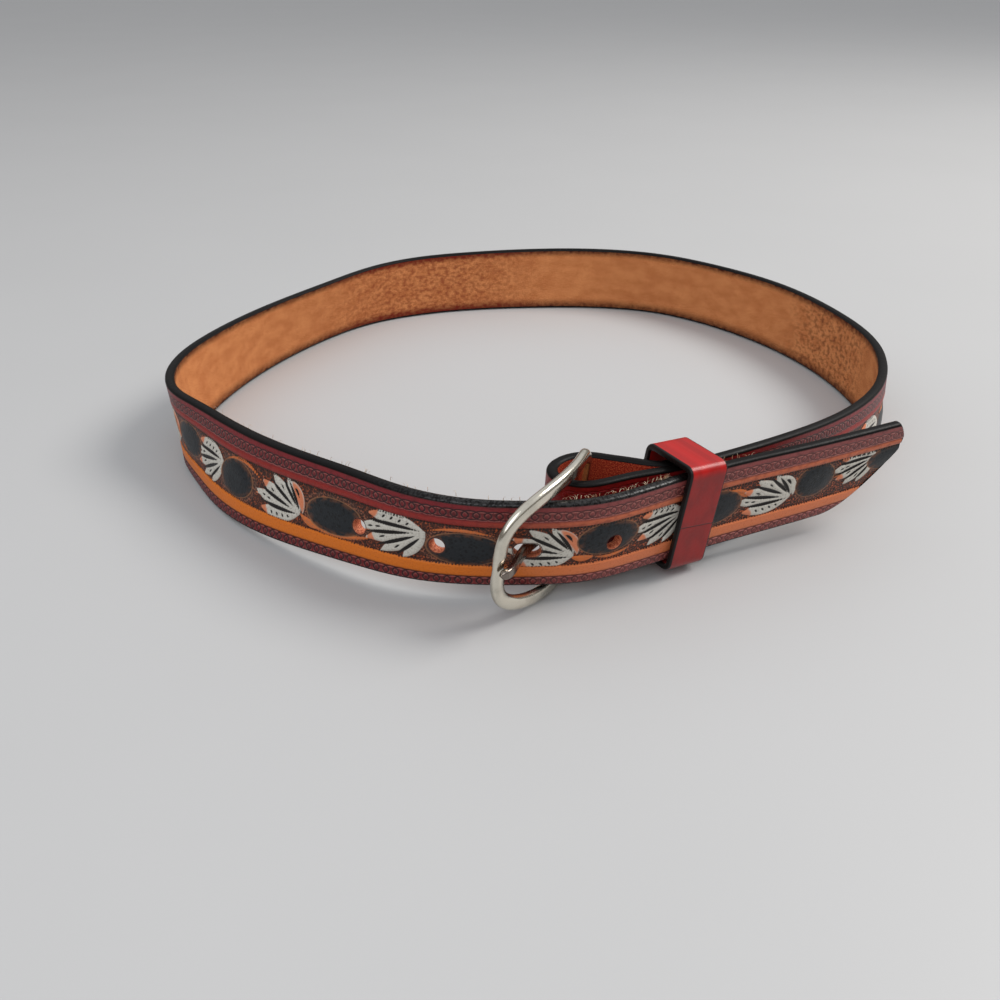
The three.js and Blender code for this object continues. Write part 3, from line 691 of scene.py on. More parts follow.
def relief(s, h, fields, depth):
    """Height of the tooled face over the plain one."""
    panel = smooth(PANEL_LOW - 0.25, PANEL_LOW + 0.35, h)
    panel = panel * (1 - smooth(PANEL_HIGH - 0.35, PANEL_HIGH + 0.25, h))
    raised = np.maximum(smooth(-0.3, 0.5, fields["leaf"]), smooth(-0.2, 0.3, fields["vine"]))
    level = -GROUND_LEVEL * (1 - raised) - CUT_LEVEL * smooth(-0.2, 0.35, fields["cut"]) * raised
    inside = smooth(-0.1, 0.5, fields["oval"])
    dome = -OVAL_LEVEL + OVAL_DOME * smooth(0, OVAL_DOME_RUN, fields["oval"])
    level = level * (1 - inside) + dome * inside
    level = level * panel
    for line in (LOWER_BAND, PANEL_LOW, PANEL_HIGH, UPPER_BAND):
        level = level - LINE_LEVEL * np.exp(-((h - line) / LINE_HALF) ** 2)
    for hole in HOLES:
        level = level * smooth(*HOLE_EASE, from_hole(hole, s, h)[2])
    return depth * level * (1 - smooth(PLAIN_FROM - 2, PLAIN_FROM, s))


def quads(rows, columns):
    """Corner numbers of the faces between rings of points."""
    grid = np.arange(rows * columns).reshape(rows, columns)
    grid = np.concatenate([grid, grid[:, :1]], axis=1)
    corners = (grid[:-1, :-1], grid[1:, :-1], grid[1:, 1:], grid[:-1, 1:])
    return np.stack(corners, axis=-1).reshape(-1, 4)


def ring_quads(rows, columns):
    """The same, with the last ring joined to the first."""
    seam = quads(2, columns)
    seam = np.where(seam < columns, seam + (rows - 1) * columns, seam - columns)
    return np.vstack([quads(rows, columns), seam])


def outward(points, faces):
    """The faces, turned about if they point inwards."""
    corners = points[faces]
    volume = 0.0
    for a, b, c in ((0, 1, 2), (0, 2, 3)):
        cross = np.cross(corners[:, b], corners[:, c])
        volume += np.einsum("ij,ij->", corners[:, a], cross)
    return faces if volume > 0 else faces[:, ::-1]


def rod_faces(points, middle, columns, base=0):
    """Outward faces of a rod made of rings of points, with a cap on each end."""
    faces = outward(points - middle, quads(len(points) // columns, columns))
    first = list(range(base, base + columns))
    last = list(range(base + len(points) - columns, base + len(points)))
    caps = [first, last[::-1]] if faces[0, 0] != 0 else [first[::-1], last]
    return (faces + base).tolist() + caps


def point_normals(points, faces):
    """Directions of the points, from the faces that meet in them."""
    normals = np.zeros_like(points)
    across = points[faces[:, 2]] - points[faces[:, 0]]
    down = points[faces[:, 3]] - points[faces[:, 1]]
    flat = np.cross(across, down)
    for corner in range(4):
        np.add.at(normals, faces[:, corner], flat)
    return normals / np.maximum(np.linalg.norm(normals, axis=1), 1e-12)[:, None]


def piece(name, points, faces, material, nodes, fields=None, normals=None):
    """A piece from points in the run's millimetres and lists of corners."""
    mesh = bpy.data.meshes.new(name)
    mesh.from_pydata(((points + SHIFT) * MM).tolist(), [], [list(face) for face in faces])
    mesh.validate()
    for field, values in (fields or {}).items():
        vector = values.ndim == 2
        layer = mesh.attributes.new(field, "FLOAT_VECTOR" if vector else "FLOAT", "POINT")
        layer.data.foreach_set("vector" if vector else "value", values.astype(np.float32).ravel())
    mesh.shade_smooth()
    if normals is not None:
        mesh.normals_split_custom_set_from_vertices(normals.tolist())
    mesh.materials.append(material)
    made = bpy.data.objects.new(name, mesh)
    bpy.context.scene.collection.objects.link(made)
    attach(made, "root")
    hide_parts(*nodes)
    return made


def without_loose(points, faces, extras):
    """Drops the points that no face uses."""
    used = np.unique(faces)
    place = np.full(len(points), -1)
    place[used] = np.arange(len(used))
    return points[used], place[faces], [values[used] for values in extras]


def strap_stretch(name, start, end, fine, sizes, material):
    """A stretch of the strap: its tooled face, rounded edges and flesh side."""
    count = math.ceil((end - start) / fine.step)
    lengths = np.linspace(start, end, count + 1)
    open_low, open_high = start > 0, end < RUN.path.length
    if open_low:
        lengths = np.concatenate([[start - fine.step], lengths])
    else:
        lengths[0] = TIP_START
    if open_high:
        lengths = np.concatenate([lengths, [end + fine.step]])
    face = np.linspace(0, 1, fine.face_rows + 1)
    flesh = np.linspace(1, 0, fine.flesh_rows + 1)
    turn = np.linspace(0, math.pi, fine.edge_rows + 1)[1:-1]
    round_off = sizes.edge_rounding
    columns = fine.face_rows + fine.flesh_rows + 2 + 2 * len(turn)
    half = STRAP_THICKNESS / 2

    s = np.repeat(lengths[:, None], columns, axis=1)
    ease = np.sqrt(np.clip(1 - (1 - s / TIP_END_ROUND) ** 2, 0, 1))
    ease = np.where(s < TIP_END_ROUND, ease, 1)
    inset = (1 - ease) * TIP_END_ROUND * TIP_END_INSET
    low = tip_low(s) + round_off + inset
    high = tip_high(s) - round_off - inset
    share = np.concatenate([face, np.ones(len(turn)), flesh, np.zeros(len(turn))])
    swell = np.concatenate([0 * face, np.sin(turn), 0 * flesh, -np.sin(turn)])
    back = np.concatenate([0 * face, 1 - np.cos(turn), 0 * flesh + 2, 1 + np.cos(turn)])
    h = low + (high - low) * share + swell * round_off
    depth = half + (back[None, :] - 1) * half * ease
    on_face = np.zeros(columns, bool)
    on_face[:fine.face_rows + 1] = True
    on_flesh = np.zeros(columns, bool)
    flesh_start = fine.face_rows + 1 + len(turn)
    on_flesh[flesh_start:flesh_start + fine.flesh_rows + 1] = True
    flat = np.broadcast_to(on_face | on_flesh, s.shape)

    gone = np.zeros(s.shape, bool)
    for hole in HOLES:
        across, up, rim = from_hole(hole, s, h)
        spacing = max(fine.step, STRAP_WIDTH / fine.face_rows)
        near = flat & (np.abs(rim) < 0.62 * spacing)
        scale = hole.radius / np.maximum(np.hypot(across, up), 1e-6)
        s = np.where(near, s + across * (scale - 1), s)
        h = np.where(near, h + up * (scale - 1), h)
        gone |= flat & (rim < 0) & ~near

    fields = tooling(s.ravel(), h.ravel())
    lift = relief(s.ravel(), h.ravel(), fields, sizes.relief).reshape(s.shape)
    lift = lift * on_face
    nap = 0.05 * np.sin(1.3 * s + 2.1 * h) * np.sin(0.7 * s - 1.7 * h) * on_flesh
    points = RUN.path.point(s.ravel(), (depth - lift + nap).ravel(), h.ravel())

    faces = quads(*s.shape)
    normals = -point_normals(points, faces)
    faces = faces[:, ::-1]
    row = faces.min(axis=1) // columns
    keep = ~gone.ravel()[faces].any(axis=1)
    if open_low:
        keep &= row > 0
    if open_high:
        keep &= row < len(lengths) - 2
    faces = faces[keep]
    place = np.column_stack([s.ravel(), h.ravel(), depth.ravel()])
    extras = [place, normals, *[fields[name] for name in FIELDS]]
    points, faces, extras = without_loose(points, faces, extras)
    faces = faces.tolist()
    if not open_low:
        faces.append(list(range(columns)))
    if not open_high:
        faces.append(list(range(len(points) - columns, len(points)))[::-1])
    layers = dict(zip(("place", *FIELDS), [extras[0], *extras[2:]]))
    return piece(name, points, faces, material, ["strap"], layers, extras[1])


def edge_fibres(material):
    """Loose pale fibres that stand out of the upper back edge."""
    dice = np.random.default_rng(FIBRE_SEED)
    turns = 2 * math.pi * np.arange(FIBRE_SIDES) / FIBRE_SIDES
    share = np.linspace(0, 1, FIBRE_STEPS)
    points, faces, places = [], [], []
    for stretch in FIBRES:
        for _ in range(stretch.count):
            s = dice.uniform(stretch.start, stretch.end) + dice.uniform(*FIBRE_SWAY) * share ** 2
            depth = STRAP_THICKNESS - dice.uniform(*FIBRE_INSET) + dice.uniform(*FIBRE_LEAN) * share
            rise = dice.uniform(*FIBRE_RISE) * np.sin(math.pi * share * dice.uniform(*FIBRE_ARCH))
            thin = FIBRE_RADIUS * (FIBRE_FLARE - share)
            height = STRAP_WIDTH - FIBRE_ROOT + rise
            rings = [RUN.path.point(s + thin * math.cos(turn), depth, height + thin * math.sin(turn))
                     for turn in turns]
            base = len(points) * FIBRE_STEPS * FIBRE_SIDES
            points.append(np.stack(rings, axis=1).reshape(-1, 3))
            faces.append(quads(FIBRE_STEPS, FIBRE_SIDES) + base)
            places.append(np.column_stack([np.repeat(v, FIBRE_SIDES) for v in (s, rise, depth)]))
    return piece("edge_fibres", np.vstack(points), np.vstack(faces).tolist(), material,
                 ["strap"], {"place": np.vstack(places)})


def hole_lining(material):
    """The raw leather inside the punched holes, with a lip over each rim."""
    turns = np.linspace(0, 2 * math.pi, LINING_SIDES, endpoint=False)
    cos, sin = np.cos(turns), np.sin(turns)
    points, faces, places = [], [], []
    for number, hole in enumerate(HOLES):
        stretch = hole.straight * np.sign(cos) * (np.abs(cos) > 1e-6)
        for wide, depth in LINING:
            radius = hole.radius + wide
            s = hole.along + stretch + radius * cos
            h = hole.height + radius * sin
            points.append(RUN.path.point(s, depth, h))
            places.append(np.column_stack([s, h, np.full(len(s), depth)]))
        faces.append(quads(len(LINING), LINING_SIDES) + number * len(LINING) * LINING_SIDES)
    return piece("hole_linings", np.vstack(points), np.vstack(faces).tolist(), material,
                 ["strap"], {"place": np.vstack(places)})


def frame_line(steps, corner_steps):
    """Reach, rise and bar share of the frame's centre line."""
    half = FRAME_HEIGHT / 2
    power = 2 / FRAME_SQUARENESS
    line = []
    for i in range(steps + 1):
        angle = math.pi / 2 - math.pi * i / steps
        sine = math.sin(angle)
        reach = FRAME_REACH * max(math.cos(angle), 0) ** power
        rise = half * math.copysign(abs(sine) ** power, sine)
        if reach > FRAME_CORNER * FRAME_CORNER_RUN:
            line.append((reach, rise, 0.0))
    for side in (-1, 1):
        for i in range(corner_steps + 1):
            turn = (i if side < 0 else corner_steps - i) * math.pi / (2 * corner_steps)
            reach = FRAME_CORNER * (1 - math.sin(turn))
            rise = side * (half - FRAME_CORNER * (1 - math.cos(turn)))
            line.append((reach, rise, turn / (math.pi / 2)))
    return line


class Buckle:
    """Where the frame stands: it swings about the bar until its front clears the strap."""

    def __init__(self):
        low, high = 0.0, FRAME_SWING_MOST
        for _ in range(FRAME_SWING_TRIES):
            middle = (low + high) / 2
            if self.standoff(middle) < FRAME_STANDOFF:
                low = middle
            else:
                high = middle
        self.way = turned(RUN.bar_along, (low + high) / 2)
        self.out = np.array([-self.way[1], self.way[0]])
        line = frame_line(SOLID_FRAME_STEPS, SOLID_CORNER_STEPS)
        lowest = min(self.rise(reach, rise) for reach, rise, _ in line)
        self.middle = FRAME_BAND / 2 - lowest

    @staticmethod
    def standoff(angle):
        """How far the frame's front stands off the strap at a swing about the bar."""
        front = RUN.bar_middle[:2] + turned(RUN.bar_along, angle) * FRAME_REACH
        lengths = np.arange(BAR_FROM_TIP, BAR_FROM_TIP + 2 * FRAME_REACH, COARSE_STEP)
        face = RUN.loop.point(lengths, 0, STRAP_WIDTH / 2)[:, :2]
        nearest = np.hypot(*(front - face).T).argmin()
        return (front - face[nearest]) @ RUN.loop.spot(lengths[nearest])[2]

    @staticmethod
    def rise(reach, rise):
        """Height over the bar's middle of a place in the leant frame."""
        return rise * math.cos(FRAME_LEAN) - reach * math.sin(FRAME_DROP)

    def point(self, reach, rise, outwards=0.0):
        """A point of the bowed frame from its reach past the bar and its rise."""
        share = reach / FRAME_REACH
        bow = 4 * FRAME_BOW * share * (1 - share) + rise * math.sin(FRAME_LEAN) + outwards
        plan = RUN.bar_middle[:2] + self.way * reach + self.out * bow
        return np.array([*plan, self.middle + self.rise(reach, rise)])


BUCKLE = Buckle()


def sweep(centres, sides, outs, wides, deeps, count, squareness=2.0):
    """Rings of points round a line of centres."""
    turns = 2 * math.pi * (np.arange(count) + 0.5) / count
    cos = np.sign(np.cos(turns)) * np.abs(np.cos(turns)) ** (2 / squareness)
    sin = np.sign(np.sin(turns)) * np.abs(np.sin(turns)) ** (2 / squareness)
    rings = [c + np.outer(cos * w, a) + np.outer(sin * d, b)
             for c, a, b, w, d in zip(centres, sides, outs, wides, deeps)]
    return np.vstack(rings)


def buckle_frame(material, sizes):
    """The frame and its bar in one ring, with a dent where the tongue rests."""
    line = np.array(frame_line(FRAME_STEPS, FRAME_CORNER_STEPS))
    reach, rise, share = line.T
    centres = np.array([BUCKLE.point(*place) for place in line[:, :2]])
    along = units(np.roll(centres, -1, axis=0) - np.roll(centres, 1, axis=0))
    sides = units(np.cross([*BUCKLE.out, 0.0], along))
    outs = np.cross(along, sides)
    rest = (TONGUE_HOLE[2] - BUCKLE.middle) * TONGUE_REST
    dent = np.exp(-((rise - rest) / REST_DENT_HALF) ** 2) * (reach > FRAME_REACH * FRAME_FRONT)
    wides = (FRAME_BAND + (BAR_DIAMETER - FRAME_BAND) * share) / 2
    deeps = (FRAME_DEPTH + (BAR_DIAMETER - FRAME_DEPTH) * share) / 2
    deeps = deeps - sizes.rest_dent * dent
    points = sweep(centres, sides, outs, wides, deeps, FRAME_SIDES, FRAME_SECTION)
    faces = outward(points, ring_quads(len(line), FRAME_SIDES))
    return piece("buckle_frame_plated", points, faces.tolist(), material,
                 ["buckle_frame"], {"place": np.repeat(line, FRAME_SIDES, axis=0)})


def centripetal(points, steps):
    """A centripetal curve through points, read at even lengths."""
    before = 2 * points[0] - points[1]
    after = 2 * points[-1] - points[-2]
    row = [before, *points, after]
    dense = []
    for i in range(1, len(row) - 2):
        p = row[i - 1:i + 3]
        knots = np.cumsum([0] + [np.linalg.norm(p[k + 1] - p[k]) ** 0.5 for k in range(3)])
        for t in np.linspace(knots[1], knots[2], CURVE_STEPS, endpoint=i == len(row) - 3):
            a = [(p[k] * (knots[k + 1] - t) + p[k + 1] * (t - knots[k])) / (knots[k + 1] - knots[k])
                 for k in range(3)]
            b = [(a[k] * (knots[k + 2] - t) + a[k + 1] * (t - knots[k])) / (knots[k + 2] - knots[k])
                 for k in range(2)]
            dense.append((b[0] * (knots[2] - t) + b[1] * (t - knots[1])) / (knots[2] - knots[1]))
    dense = np.array(dense)
    lengths = np.concatenate([[0], np.cumsum(np.linalg.norm(np.diff(dense, axis=0), axis=1))])
    even = np.linspace(0, lengths[-1], steps + 1)
    return np.column_stack([np.interp(even, lengths, dense[:, axis]) for axis in range(3)])


def buckle_tongue(material):
    """The tongue's eye round the bar, and its shank through the hole and on to the frame."""
    bar_axis = unit(BUCKLE.point(0, 1) - BUCKLE.point(0, 0))
    way = np.array([*BUCKLE.way, 0.0])
    bore = BAR_DIAMETER / 2 + CLEARANCE
    outer = bore + TONGUE_THICKNESS
    rise = (TONGUE_HOLE[2] - BUCKLE.middle) / math.cos(FRAME_LEAN)
    eye = BUCKLE.point(0, rise)
    side = unit(np.cross(bar_axis, way))
    front = np.cross(side, bar_axis)
    turns = np.linspace(0, 2 * math.pi, EYE_STEPS, endpoint=False)
    away = np.array([front * math.cos(turn) + side * math.sin(turn) for turn in turns])
    middle = (bore + outer) / 2
    rings = sweep(eye + away * middle, away, [bar_axis] * EYE_STEPS,
                  [TONGUE_THICKNESS / 2] * EYE_STEPS, [TONGUE_HEIGHT / 2] * EYE_STEPS,
                  TONGUE_SIDES, EYE_SECTION)
    eye_faces = outward(rings - eye, ring_quads(EYE_STEPS, TONGUE_SIDES))

    standoff = (FRAME_DEPTH + TONGUE_THICKNESS) / 2 + TONGUE_STANDOFF
    rest = BUCKLE.point(FRAME_REACH, rise * TONGUE_REST, standoff)
    end_way = BUCKLE.point(FRAME_REACH, 0) - BUCKLE.point(FRAME_REACH * FRAME_FRONT, 0)
    end_way[2] = 0
    towards = (TONGUE_HOLE - eye) * [1, 1, 0]
    start = eye + unit(towards) * middle
    end = rest + unit(end_way) * TONGUE_OVERHANG
    line = centripetal([start, TONGUE_HOLE, rest, end], TONGUE_STEPS)
    share = np.linspace(0, 1, TONGUE_STEPS + 1)
    along = units(np.gradient(line, axis=0))
    across = units(np.column_stack([-along[:, 1], along[:, 0], np.zeros(TONGUE_STEPS + 1)]))
    up = np.cross(along, across)
    taper = 1 - TONGUE_TAPER * share ** 3
    past = np.maximum(share - TONGUE_TIP_FROM, 0) ** 2
    tip = np.sqrt(np.clip(1 - past / TONGUE_TIP_ROUND, TONGUE_TIP_LEAST, 1))
    wides = TONGUE_THICKNESS / 2 * (TONGUE_TIP_THICKNESS + (1 - TONGUE_TIP_THICKNESS) * tip)
    deeps = TONGUE_HEIGHT / 2 * taper * tip
    shank = sweep(line, across, up, wides, deeps, TONGUE_SIDES, TONGUE_SECTION)
    faces = eye_faces.tolist() + rod_faces(shank, line.mean(0), TONGUE_SIDES, len(rings))
    return piece("buckle_tongue_plated", np.vstack([rings, shank]), faces, material,
                 ["buckle_tongue"])


def keeper_depths():
    """Depth of the keeper's opening before and behind the strap's face."""
    _, along, out = RUN.loop.spot(KEEPER_FROM_TIP)
    reach = KEEPER_WIDTH / 2 + 1
    near = np.arange(KEEPER_FROM_TIP - 2 * reach, KEEPER_FROM_TIP + 2 * reach, COARSE_STEP)
    flap = np.arange(RUN.fold_end, RUN.path.length, COARSE_STEP)
    front = back = 0.0
    for height in (0, STRAP_WIDTH):
        at = RUN.loop.point(KEEPER_FROM_TIP, 0, height)[0]
        for depth in (0, STRAP_THICKNESS):
            for lengths in (near, flap):
                offset = (at - RUN.path.point(lengths, depth, height))[:, :2]
                behind = (offset @ out)[np.abs(offset @ along) <= reach]
                if len(behind):
                    front = max(front, -behind.min())
                    back = max(back, behind.max())
    return front + CLEARANCE, back + RIVET_HEAD + 2 * CLEARANCE


def rounded_outline(low, high, corner, corner_steps, side_step):
    """Points and outward directions round a rectangle with round corners."""
    centres = ((high[0] - corner, high[1] - corner), (low[0] + corner, high[1] - corner),
               (low[0] + corner, low[1] + corner), (high[0] - corner, low[1] + corner))
    points, outs = [], []
    for quarter, centre in enumerate(centres):
        for step in range(corner_steps + 1):
            turn = (quarter + step / corner_steps) * math.pi / 2
            way = np.array([math.cos(turn), math.sin(turn)])
            points.append(np.array(centre) + corner * way)
            outs.append(way)
        following = centres[(quarter + 1) % 4]
        gap = np.array(following) - np.array(centre)
        count = max(int(np.linalg.norm(gap) / side_step), 1)
        for step in range(1, count):
            points.append(points[-1] + gap / count)
            outs.append(outs[-1])
    return np.array(points), np.array(outs)


def keeper_loop(material, sizes):
    """The keeper: a rounded wall led round the three layers, tilted as it sits."""
    front, back = keeper_depths()
    half = STRAP_WIDTH / 2 + KEEPER_WIDTH / 2 * math.tan(KEEPER_TILT) + 2 * CLEARANCE
    wall = KEEPER_WALL
    low, high = (-back - wall / 2, -half - wall / 2), (front + wall / 2, half + wall / 2)
    line, outs = rounded_outline(low, high, sizes.keeper_corner - wall / 2,
                                 KEEPER_CORNER_STEPS, KEEPER_SIDE_STEP)
    round_off = sizes.keeper_rounding
    width = KEEPER_WIDTH / 2
    turn = np.linspace(0, math.pi / 2, KEEPER_EDGE_STEPS + 1)
    straight = np.linspace(-1, 1, KEEPER_FACE_STEPS + 1)[1:-1]
    corners = []
    for quarter, (side, face) in enumerate(((1, 1), (-1, 1), (-1, -1), (1, -1))):
        for angle in turn + quarter * math.pi / 2:
            along = side * (width - round_off) + round_off * math.cos(angle)
            thick = face * (wall / 2 - round_off) + round_off * math.sin(angle)
            corners.append((along, thick))
        if quarter in (0, 2):
            flat = (width - round_off) * (-straight if quarter == 0 else straight)
            corners += [(along, face * wall / 2) for along in flat]
    section = np.array(corners)
    row, way, out = RUN.loop.spot(KEEPER_FROM_TIP)
    points, places = [], []
    for (forward, rise), (push, lift) in zip(line, outs):
        f = forward + push * section[:, 1]
        r = rise + lift * section[:, 1]
        along = section[:, 0]
        swing = along * math.cos(KEEPER_TILT) - r * math.sin(KEEPER_TILT)
        up = r * math.cos(KEEPER_TILT) + along * math.sin(KEEPER_TILT)
        height = STRAP_WIDTH / 2 + up
        plan = row[:2] + row[2:4] * (1 - height / STRAP_WIDTH)[:, None]
        plan = plan + np.outer(f, out) + np.outer(swing, way)
        points.append(np.column_stack([plan, max(row[4], 0) + height]))
        places.append(np.column_stack([along, r, section[:, 1] * (push if push > 0.5 else 0.2)]))
    points = np.vstack(points)
    faces = outward(points - points.mean(0), ring_quads(len(line), len(section)))
    return piece("keeper_glossy", points, faces.tolist(), material,
                 ["keeper_loop"], {"place": np.vstack(places)})


def flap_rivet(material):
    """A shank with two low domed heads."""
    row, along, out = RUN.loop.spot(RIVET_FROM_TIP)
    up = unit(np.array([*(-row[2:4] / STRAP_WIDTH), 1.0]))
    axis = unit(np.cross(up, [*along, 0.0]))
    if axis[:2] @ out < 0:
        axis = -axis
    face = RUN.loop.point(RIVET_FROM_TIP, 0, STRAP_WIDTH / 2)[0]
    front = STRAP_THICKNESS + LAYER_GAP / 2
    length = 2 * STRAP_THICKNESS + 3 * CLEARANCE + 2 * RIVET_HEAD
    start = front - RIVET_HEAD / 2
    head, shank = RIVET_HEAD_DIAMETER / 2, RIVET_DIAMETER / 2
    dome = [(head * share, depth) for share, depth in RIVET_DOME]
    profile = [(RIVET_POLE, 0.0), *dome, (shank, RIVET_HEAD)]
    profile += [(radius, length - depth) for radius, depth in reversed(profile)]
    turns = np.linspace(0, 2 * math.pi, RIVET_SIDES, endpoint=False)
    side, rise = np.array([*along, 0.0]), np.cross(axis, [*along, 0.0])
    ring = np.outer(np.cos(turns), side) + np.outer(np.sin(turns), rise)
    points = np.vstack([face - axis * (start + depth) + ring * radius for radius, depth in profile])
    faces = rod_faces(points, points.mean(0), RIVET_SIDES)
    return piece("flap_rivet_plated", points, faces, material, ["flap_rivet"])


def paint(red, green, blue):
    """A screen colour from 0 to 255 as a linear one."""
    shares = [channel / 255 for channel in (red, green, blue)]
    return tuple(s / 12.92 if s <= 0.04045 else ((s + 0.055) / 1.055) ** 2.4 for s in shares)


def operation(name):
    """A method that does one shader operation on a value and what it is joined with."""
    return lambda value, *others: value.finish.maths(name, value, *others)


class Value:
    """A socket of a finish's node tree, which sums and products can be written with."""

    __add__ = __radd__ = operation("ADD")
    __sub__ = operation("SUBTRACT")
    __mul__ = operation("MULTIPLY")
    __truediv__ = operation("DIVIDE")
    __pow__ = operation("POWER")
    __abs__ = operation("ABSOLUTE")
    at_least = operation("MAXIMUM")

    def __init__(self, finish, socket):
        self.finish, self.socket = finish, socket

    def __rsub__(self, other):
        return self.finish.maths("SUBTRACT", other, self)

    def over(self, low, high):
        """A soft step from 0 at low to 1 at high."""
        settings = {"interpolation_type": "SMOOTHSTEP"}
        inputs = {"Value": self, "From Min": low, "From Max": high}
        return self.finish.node("ShaderNodeMapRange", settings, inputs)["Result"]

    def within(self, middle, half, soft):
        """1 where the value lies within half of middle, with soft sides."""
        return 1 - abs(self - middle).over(half - soft, half + soft)

    def wave(self, pitch):
        """The distance to the middle of a repeat, from minus to plus half a pitch."""
        shares = self.finish.maths("FRACT", self / pitch)
        return (shares - 0.5) * pitch


class Outputs:
    """The outputs of a node by name."""

    def __init__(self, finish, node):
        self.finish, self.node = finish, node

    def __getitem__(self, name):
        return Value(self.finish, self.node.outputs[name])


class Finish:
    """A procedural material for one kind of surface."""

    def __init__(self, name, world=None):
        self.owner = world or bpy.data.materials.new(name)
        self.owner.use_nodes = True
        self.tree = self.owner.node_tree
        self.tree.nodes.clear()

    def node(self, kind, settings=None, inputs=None):
        """A node with its settings and what goes into it, as its outputs."""
        made = self.tree.nodes.new(kind)
        for name, value in (settings or {}).items():
            setattr(made, name, value)
        for name, value in (inputs or {}).items():
            self.put(made.inputs[name], value)
        return Outputs(self, made)

    def put(self, socket, value):
        """Joins a value to a socket, or sets the socket to a constant."""
        if isinstance(value, Value):
            self.tree.links.new(value.socket, socket)
        elif isinstance(value, tuple) and len(value) == 3 and socket.type == "RGBA":
            socket.default_value = (*value, 1.0)
        else:
            socket.default_value = value

    def maths(self, operation, *values):
        """A sum, product or other operation on values."""
        return self.node("ShaderNodeMath", {"operation": operation}, dict(enumerate(values)))["Value"]

    def mix(self, factor, under, over):
        """A colour between two. The numbers are the node's sockets for colours."""
        made = self.tree.nodes.new("ShaderNodeMix")
        made.data_type = "RGBA"
        for socket, value in ((0, factor), (6, under), (7, over)):
            self.put(made.inputs[socket], value)
        return Value(self, made.outputs[2])

    def layered(self, colour, *coats):
        """A colour with others laid over it in turn, each by its own factor."""
        for factor, over in coats:
            colour = self.mix(factor, colour, over)
        return colour

    def read(self, name):
        """A number that a piece's points carry."""
        return self.node("ShaderNodeAttribute", {"attribute_name": name})["Fac"]

    def place(self):
        """The three numbers of a point's place on its piece."""
        vector = self.node("ShaderNodeAttribute", {"attribute_name": "place"})["Vector"]
        split = self.node("ShaderNodeSeparateXYZ", None, {"Vector": vector})
        return split["X"], split["Y"], split["Z"]

    def speckle(self, x, y, z, detail=2.0, roughness=0.5):
        """Noise from 0 to 1 at a scaled place."""
        at = self.node("ShaderNodeCombineXYZ", None, {"X": x, "Y": y, "Z": z})["Vector"]
        return self.noise(at, 1.0, detail, roughness)

    def noise(self, at, scale, detail, roughness=0.5):
        """Noise from 0 to 1 at a vector."""
        inputs = {"Vector": at, "Scale": scale, "Detail": detail, "Roughness": roughness}
        return self.node("ShaderNodeTexNoise", None, inputs)["Fac"]

    def pits(self, x, y):
        """Distance to the nearest of scattered points, at a scaled place."""
        at = self.node("ShaderNodeCombineXYZ", None, {"X": x, "Y": y})["Vector"]
        return self.node("ShaderNodeTexVoronoi", None, {"Vector": at, "Scale": 1.0})["Distance"]

    def done(self, colour, roughness, height=None, bump=0.2, reach=0.0003, **constants):
        """Joins the shader: a rough or glossy surface with fine bumps."""
        shader = self.tree.nodes.new("ShaderNodeBsdfPrincipled")
        self.put(shader.inputs["Base Color"], colour)
        self.put(shader.inputs["Roughness"], roughness)
        for name, value in constants.items():
            self.put(shader.inputs[name.replace("_", " ").title().replace("Ior", "IOR")], value)
        if height is not None:
            inputs = {"Height": height, "Strength": bump, "Distance": reach}
            self.put(shader.inputs["Normal"], self.node("ShaderNodeBump", None, inputs)["Normal"])
        output = self.tree.nodes.new("ShaderNodeOutputMaterial")
        self.tree.links.new(shader.outputs[0], output.inputs["Surface"])
        return self.owner


def chains(along, height):
    """Stamped oval links that overlap in a row along each edge: 1 on their raised lines."""
    rings = []
    for middle in (LOWER_CHAIN, UPPER_CHAIN):
        up = (height - middle) / LINK_HALF_HEIGHT
        for offset in (0, CHAIN_PITCH):
            across = (along + offset).wave(2 * CHAIN_PITCH) / (CHAIN_PITCH * LINK_LENGTH)
            away = (across * across + up * up) ** 0.5
            rings.append(away.within(1, LINK_LINE, LINK_SOFT))
    lines = rings[0]
    for ring in rings[1:]:
        lines = lines.at_least(ring)
    return lines


